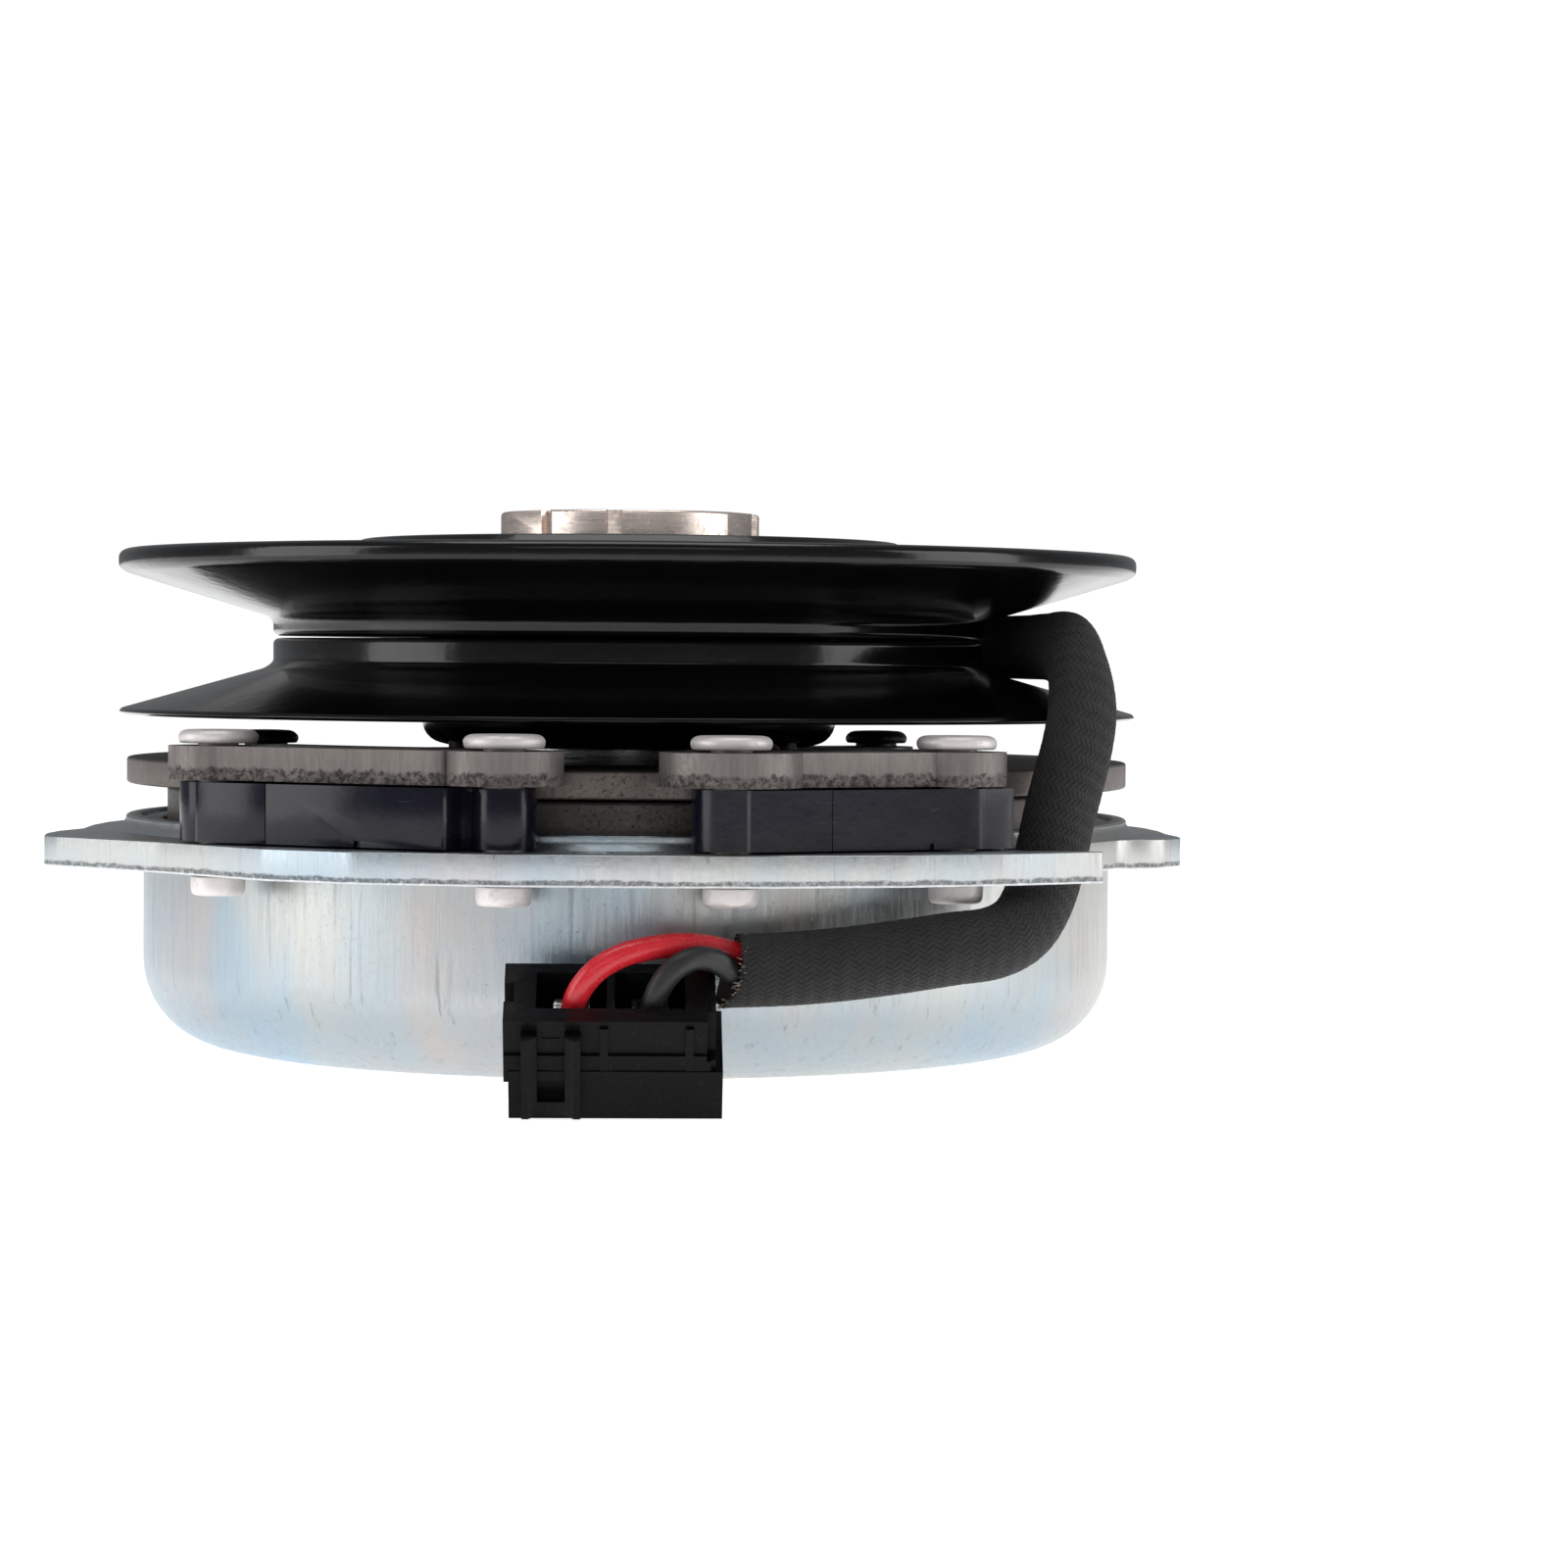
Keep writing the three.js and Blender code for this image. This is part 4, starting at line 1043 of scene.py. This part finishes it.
ferrite = Finish("ferrite", metallic=0.2, roughness=0.6)
grain = ferrite.noise(ferrite.place(), 2.5, detail=5, rough=0.7)
ferrite.wears(
    Base_Color=ferrite.tint(grain, (0.02, 0.02, 0.022), (0.06, 0.06, 0.062)),
    Roughness=0.45 + 0.3 * grain,
)
ferrite.relief(grain, deep=0.03)

rivet_metal = Finish("matte_rivet_steel", metallic=0.45, roughness=0.5)
where = rivet_metal.place()
fine = rivet_metal.noise(where, 2.4, detail=6, rough=0.7)
tarnish = rivet_metal.noise(where, 0.35, detail=3)
dents = rivet_metal.between(rivet_metal.noise(where, 0.9, detail=5, rough=0.8), 0.58, 0.7)
clean = rivet_metal.tint(tarnish, (0.72, 0.665, 0.65), (0.82, 0.78, 0.765))
rivet_metal.wears(
    Base_Color=rivet_metal.tint(dents * 0.35, clean, (0.42, 0.37, 0.36)),
    Roughness=rivet_metal.between(fine, 0.3, 0.7, 0.36, 0.60),
)
rivet_metal.relief(fine + dents, deep=0.035)


def solid_turned(steps, around=64):
    """A solid turned piece, from the radius, height and rounding of its corners."""
    outline = [(0.0, steps[0][1], 0), *steps, (0.0, steps[-1][1], 0)]
    bm = bmesh.new()
    corners = [bm.verts.new((r, 0, z)) for r, z, _ in outline]
    for here, ahead in zip(corners, corners[1:]):
        bm.edges.new((here, ahead))
    settings = {"affect": "VERTICES", "segments": 3, "profile": 0.5, "material": -1}
    for corner, (_, _, rounding) in zip(corners, outline):
        if rounding:
            bmesh.ops.bevel(bm, geom=[corner], offset=rounding, **settings)
    whole = {"angle": math.tau, "steps": around, "use_merge": True}
    bmesh.ops.spin(bm, geom=bm.verts[:] + bm.edges[:], axis=(0, 0, 1), cent=(0, 0, 0), **whole)
    # The ends were spun from points on the axis, which are merged here.
    bmesh.ops.remove_doubles(bm, verts=bm.verts, dist=0.001)
    bmesh.ops.recalc_face_normals(bm, faces=bm.faces)
    return bm


def riveted(name, x, y, steps, slot, body, node, around=64):
    """A rivet of this outline, standing at a place."""
    bm = solid_turned(steps, around)
    bmesh.ops.translate(bm, vec=(x, y, 0), verts=bm.verts)
    return fitted(piece(name, bm), body, slot, node)


def mirrored(back, corner):
    """An outline with a straight back, and with the same corner at the right and the left."""
    reach = corner[0][0]
    return [(-reach, back), (reach, back), *corner, *[(-x, y) for x, y in reversed(corner)]]


RIVET_OUTLINE = [
    (2.1, 25.7, 0.2), (2.5, 25.4, 0.2), (3.2, 25.4, 0.4), (3.5, 26.1, 0.4), (3.5, 27.9, 0.2),
    (2.6, 27.9, 0),
    (2.6, 45, 0), (4.9, 45, 0.2), (5.15, 45.5, 0.4), (5.1, 46.3, 0.5), (4.3, 46.75, 0.4), (2.4, 46.78, 0.2),
]
rounded_corner = [(HALF, FACE - 1.2), (HALF - 0.4, FACE - 0.4), (HALF - 1.2, FACE)]
housing_outline = mirrored(61, rounded_corner)
edge = FACE - 0.8
sheared_corner = [(HALF - 0.6, edge - 1.9), (HALF - 0.9, edge - 0.9), (HALF - 1.5, edge - 0.3), (HALF - 2.5, edge)]
pole_outline = mirrored(58, sheared_corner)

for unit, (face, rivets) in BRAKES.items():
    turn = Matrix.Rotation(math.radians(-face), 4, "Z")
    spots = [around_axis(RIVET_R, azimuth - face) for azimuth in rivets]

    body = pressed(housing_outline, HOUSING_LOW, HOUSING_HIGH, turn)
    joined = []
    # Each boss is a round post, with a web that joins it to the block.
    for (x, y), boss in zip(spots, BOSSES[unit]):
        joined.append(rod(boss, HOUSING_LOW, HOUSING_HIGH, x, y, 64, turn))
        inward = x - math.copysign(6, x)
        low = (min(x, inward), y - 3, HOUSING_LOW)
        high = (max(x, inward), y + 3, HOUSING_HIGH)
        joined.append(block(low, high, turn))
    # Round the armature and the collar the block is relieved, and it is cored out for the magnet.
    # A small foot notch and a thin mould line mark its face.
    cuts = [rod(70.9, 38, 50, around=160), rod(71.9, 20, 34.6, around=160), rod(65.5, 20, 50, around=160)]
    cuts.append(block((-8.3, 72.2, 34), (8.3, 76.2, 50), turn))
    cuts += [rod(RIVET_HOLE, 20, 50, x, y, 32, turn) for x, y in spots]
    cuts.append(block((-6.9, FACE - 0.5, 20), (-5.9, 80, HOUSING_LOW + 0.8), turn))
    cuts.append(block((7.4, FACE - 0.12, 20), (7.6, 80, 60), turn))
    block_body = machined(f"{unit}_magnet_block", body, joined, cuts, bevel=0.22, segments=3)
    plastic.on(fitted(block_body, "field", "black_plastic", f"brake_housing_{unit}"))

    magnet = machined(f"{unit}_magnet", block((-8, 72.5, 34.3), (8, 75.9, 40.05), turn), bevel=0.3)
    ferrite.on(fitted(magnet, "field", "ferrite", f"brake_magnet_{unit}"))

    # The pole plate has a round lobe at each rivet, and a step underneath that clears the armature.
    strip = pressed(pole_outline, POLE_LOW, POLE_HIGH, turn)
    joined = [rod(lobe, POLE_LOW, POLE_HIGH, x, y, 72, turn) for (x, y), lobe in zip(spots, LOBES[unit])]
    cuts = [rod(60.5, *THROUGH, around=160), rod(70.75, 20, 42.45, around=160)]
    cuts += [rod(RIVET_HOLE, *THROUGH, x, y, 32, turn) for x, y in spots]
    pole = machined(f"{unit}_pole_plate", strip, joined, cuts, bevel=0.4, segments=3)
    pole_steel.on(fitted(pole, "field", "brown_steel", f"brake_pole_{unit}"))

    for number, azimuth in enumerate(rivets, 1):
        x, y = around_axis(RIVET_R, azimuth)
        name = f"{unit}_unit_rivet_{number}"
        node = f"brake_rivet_{unit}_{number}"
        rivet_metal.on(riveted(name, x, y, RIVET_OUTLINE, "rivet", "field", node))


# ---------------------------------------------------------------- Rotor
# A turned steel disc with a rim, pressed on the hub under the armature. Two rings of slots
# through its face make the magnetic flux cross into the armature and back.
ROTOR_R = 64.7
ROTOR_TOP = 38.1
rotor_body = turned([
    (SEAT_R, 22.1, 0.3), (24, 22.1, 0.5), (24, 33, 1.5), (61.6, 33, 1), (61.6, 25, 0.3), (ROTOR_R, 25, 0.4),
    (ROTOR_R, ROTOR_TOP, 0.5), (SEAT_R, ROTOR_TOP, 0.3),
], around=160)
slots = []
for k in range(6):
    for inner, outer, start in ((55.4, 57.8, 6), (42, 44.4, 36)):
        band = arc_band(inner, outer, 60 * k + start, 60 * k + start + 48, 16)
        slots.append(pressed(band, 30, 40))
rotor = machined("friction_rotor", rotor_body, cut=slots, bevel=0)
oxide.on(fitted(rotor, "rotor", "brown_steel", "rotor_disc"))


# ---------------------------------------------------------------- Hub and spacer
# The hub is turned from steel bar, bored and keyed for a 1 inch engine shaft, with shallow
# flats and slots milled round its top. A ground spacer ring parts the rotor from the bearing.
BORE_R = 12.7
HUB_HEAD_R = 18.25
HUB_LOW = 3.6
HUB_TOP = 76.7
KEYWAY = 6.35
hub_body = turned([
    (BORE_R, HUB_LOW, 0.5), (HUB_R, HUB_LOW, 0.6), (HUB_R, 5.7, 0), (16.3, 5.7, 0), (16.3, 7.5, 0),
    (HUB_R, 7.5, 0),
    (HUB_R, 70.5, 0), (HUB_HEAD_R, 70.5, 0.2), (HUB_HEAD_R, HUB_TOP, 0.5), (BORE_R, HUB_TOP, 0.6),
], around=128)
cuts = [block((-KEYWAY / 2, 0, 0), (KEYWAY / 2, BORE_R + 3.2, 80))]
for k in range(3):
    for degrees, low, high, deep in ((0, -13, 13, 17.35), (13, -1, 1, 16.3), (47, -1.1, 1.1, 16.3)):
        turn = Matrix.Rotation(math.radians(96 + 120 * k + degrees), 4, "Z")
        cuts.append(block((deep, low, 73.4), (22, high, 80), turn))
hub = machined("keyed_hub", hub_body, cut=cuts, bevel=0.2)
fitted(hub, "rotor", "bright_steel", "rotor_hub")
hub_metal = Finish("turned_hub_steel", metallic=1.0, roughness=0.3)
where = hub_metal.place()
tool_marks = hub_metal.noise(hub_metal.place(scale=(0.05, 0.05, 1)), 2.6, detail=6, rough=0.7)
warmth = hub_metal.noise(where, 0.12, detail=3)
stain = hub_metal.between(hub_metal.noise(where, 0.55, detail=6, rough=0.75), 0.52, 0.72)
knocks = hub_metal.noise(hub_metal.place(scale=(1, 1, 0.5)), 1.4, detail=7, rough=0.85)
nicks = hub_metal.between(knocks, 0.60, 0.68)
shade = hub_metal.tint(warmth, (0.80, 0.66, 0.585), (0.93, 0.82, 0.75))
shade = hub_metal.tint(stain * 0.45, shade, (0.36, 0.30, 0.25))
hub_metal.wears(
    Base_Color=hub_metal.tint(nicks * 0.5, shade, (0.14, 0.11, 0.09)),
    Roughness=hub_metal.between(tool_marks, 0.3, 0.7, 0.20, 0.42),
)
hub_metal.relief(tool_marks + 0.5 * stain - nicks, deep=0.03)
hub_metal.on(hub)
spacer = ring_of("turned_spacer", SEAT_R, 21, ROTOR_TOP + 0.3, 49.7, ease=0.6)
ground_steel.on(fitted(spacer, "rotor", "bearing_steel", "hub_spacer"))


# ---------------------------------------------------------------- Pulley
# Two pressed steel halves are spot welded back to back at the root of the V groove and on a
# turned bearing housing, then painted with a thick gloss black.
gloss = {"Coat_Weight": 0.15, "Coat_Roughness": 0.06, "Specular_IOR_Level": 0.3}
black_coat = Finish("gloss_black_coat", roughness=0.16, **gloss)
where = black_coat.place()
peel = black_coat.noise(where, 0.42, detail=2, rough=0.4)
sag = black_coat.noise(where, 0.06, detail=2)
motes = black_coat.between(black_coat.noise(where, 2.8, detail=4, rough=0.8), 0.69, 0.76)
coat_colour = black_coat.tint(sag, (0.0012, 0.0012, 0.0014), (0.003, 0.003, 0.0033))
black_coat.wears(
    Base_Color=black_coat.tint(motes * 0.3, coat_colour, (0.06, 0.06, 0.06)),
    Roughness=0.12 + 0.14 * sag + 0.2 * motes,
)
black_coat.relief(peel + 0.4 * sag, deep=0.05)

RIM_R = 71.5
GROOVE_R = 50.1
SEAM = 58.9
GAP = 0.15
upper_half = piece("upper_pressing", turned([
    (43.4, SEAM + GAP, 0), (GROOVE_R - 0.6, SEAM + GAP, 0.3), (GROOVE_R, SEAM + GAP + 0.6, 0.3),
    (GROOVE_R, 61.4, 0.8),
    (51.2, 61.95, 1), (70.9, 67.9, 0.8), (RIM_R, 68.7, 0.5), (RIM_R, 70.4, 0.6), (70.3, 71.1, 0.7),
    (69.4, 70.9, 0.6),
    (49.7, 64.8, 1.6), (46.6, 61.8, 1), (45.2, 61.8, 0.8), (39.4, 71.6, 1.8), (37.6, 72.8, 1.2),
    (20.8, 72.8, 0.4),
    (20.8, 70.5, 0.3), (36.8, 70.5, 0.8),
], around=192))
lower_half = piece("lower_pressing", turned([
    (29.7, 56.1, 0.2), (45.6, 56.1, 1), (47.9, 53.3, 1.2), (70.6, 48, 0.2), (71.45, 48.4, 0.15),
    (71.1, 48.9, 0.2),
    (50.8, 54.7, 1), (GROOVE_R, 55.6, 0.4), (GROOVE_R, 58.3, 0.3), (GROOVE_R - 0.6, SEAM - GAP, 0.3),
    (29.7, SEAM - GAP, 0.2),
], around=192))
housing_body = turned([
    (22.5, 43.8, 0.4), (25.8, 43.8, 1.6), (28.9, 45.1, 1.6), (29.4, 48, 0.8), (29.4, SEAM + GAP, 0.3),
    (41, SEAM + GAP, 0.3), (41, 61.4, 0.4), (29.8, 61.4, 0.3), (29.8, 69.9, 0.4), (27.8, 69.9, 0.4),
    (27.8, 49.8, 0.2), (22.5, 49.8, 0.2),
], around=128)
# The springs' outer ends stand at these azimuths, and their inner ends SPRING_TURN degrees back.
SPRINGS = (44, 164, 284)
SPRING_OUT = 54
SPRING_IN = 25.6
SPRING_TURN = 40
sockets = [rod(2.3, 40, 48.2, *around_axis(SPRING_IN, azimuth - SPRING_TURN), 32) for azimuth in SPRINGS]
bearing_seat = machined("bearing_seat", housing_body, cut=sockets, bevel=0)
fitted(upper_half, "pulley", "black_gloss", "pulley_half_upper")
fitted(lower_half, "pulley", "black_gloss", "pulley_half_lower")
fitted(bearing_seat, "pulley", "black_gloss", "pulley_bearing_housing")
black_coat.on(upper_half, lower_half, bearing_seat)
ground_steel.on(*sealed_bearing("pulley_bearing", 50.1, 70.1, 27.5, 20.8, 24.6, "pulley"))


# ---------------------------------------------------------------- Armature
# A ground steel ring that hangs under the pulley on its springs, a hair above the rotor. The
# coil pulls it down on the rotor, and the springs lift it back against the brake poles.
ARMATURE_LOW = 38.6
ARMATURE_HIGH = 42.1
ARMATURE_R = 70.3
armature_body = turned([
    (38, ARMATURE_LOW, 0.3), (ARMATURE_R, ARMATURE_LOW, 0.35),
    (ARMATURE_R, ARMATURE_HIGH, 0.35), (38, ARMATURE_HIGH, 0.3),
], around=192)
eyes = [rod(3.5, 30, 50, *around_axis(SPRING_OUT, azimuth), 40) for azimuth in SPRINGS]
armature = machined("armature_ring", armature_body, cut=eyes, bevel=0.1)
rusty = ((0.095, 0.08, 0.072), (0.20, 0.172, 0.155))
armature_steel = oxide_finish("armature_steel", specks=0.5, base=rusty)
armature_steel.on(fitted(armature, "armature", "brown_steel", "armature_disc"))


# ---------------------------------------------------------------- Leaf springs and their rivets
# Three leaves of blued spring steel, each riveted to the armature at its outer end and to the
# bearing housing at its inner end. The rivets are turned steel with a black oxide.
black_oxide = Finish("black_oxide", metallic=0.6, roughness=0.42)
where = black_oxide.place()
clouds = black_oxide.noise(where, 0.5, detail=4)
fine = black_oxide.noise(where, 2.6, detail=5, rough=0.7)
worn = black_oxide.between(fine, 0.58, 0.7)
blackened = black_oxide.tint(clouds, (0.012, 0.010, 0.009), (0.035, 0.03, 0.027))
black_oxide.wears(
    Base_Color=black_oxide.tint(worn * 0.4, blackened, (0.15, 0.13, 0.12)),
    Roughness=0.3 + 0.3 * clouds,
)
black_oxide.relief(fine, deep=0.03)

LEAF_LOW = 42.65
LEAF_HIGH = 43.2
OUTER_RIVET = [
    (3.1, 38.75, 0.2), (3.1, 43.7, 0), (4.4, 43.7, 0.15), (4.7, 44.2, 0.3), (4.6, 44.9, 0.5),
    (3.7, 45.5, 0.4),
    (1.8, 45.6, 0.3),
]
INNER_RIVET = [(2.6, 41.4, 0.2), (3.4, 41.7, 0.3), (3.5, 42.35, 0.1), (2, 42.35, 0), (2, 47.8, 0.2)]
for number, azimuth in enumerate(SPRINGS, 1):
    x1, y1 = around_axis(SPRING_OUT, azimuth)
    x0, y0 = around_axis(SPRING_IN, azimuth - SPRING_TURN)
    span = math.hypot(x1 - x0, y1 - y0)
    swing = Matrix.Translation((x0, y0, 0)) @ Matrix.Rotation(math.atan2(y1 - y0, x1 - x0), 4, "Z")
    near_end = arc(4.3, range(90, 271, 10))
    far_end = arc(5.6, range(-90, 91, 10), x=span)
    lower_waist = [(span * 0.3, -3.3), (span * 0.7, -3.7)]
    upper_waist = [(span * 0.7, 3.7), (span * 0.3, 3.3)]
    strip = near_end + lower_waist + far_end + upper_waist
    cuts = [rod(2.3, 40, 50, around=32, place=swing), rod(3.5, 40, 50, span, 0, 32, swing)]
    leaf = machined(f"leaf_{number}", pressed(strip, LEAF_LOW, LEAF_HIGH, swing), cut=cuts, bevel=0.12)
    spring_steel.on(fitted(leaf, "pulley", "spring", f"leaf_spring_{number}"))
    node = f"armature_rivet_{number}"
    outer = riveted(f"ring_rivet_{number}", x1, y1, OUTER_RIVET, "black_steel", "armature", node, 48)
    node = f"spring_rivet_{number}"
    inner = riveted(f"seat_rivet_{number}", x0, y0, INNER_RIVET, "black_steel", "pulley", node, 40)
    black_oxide.on(outer, inner)
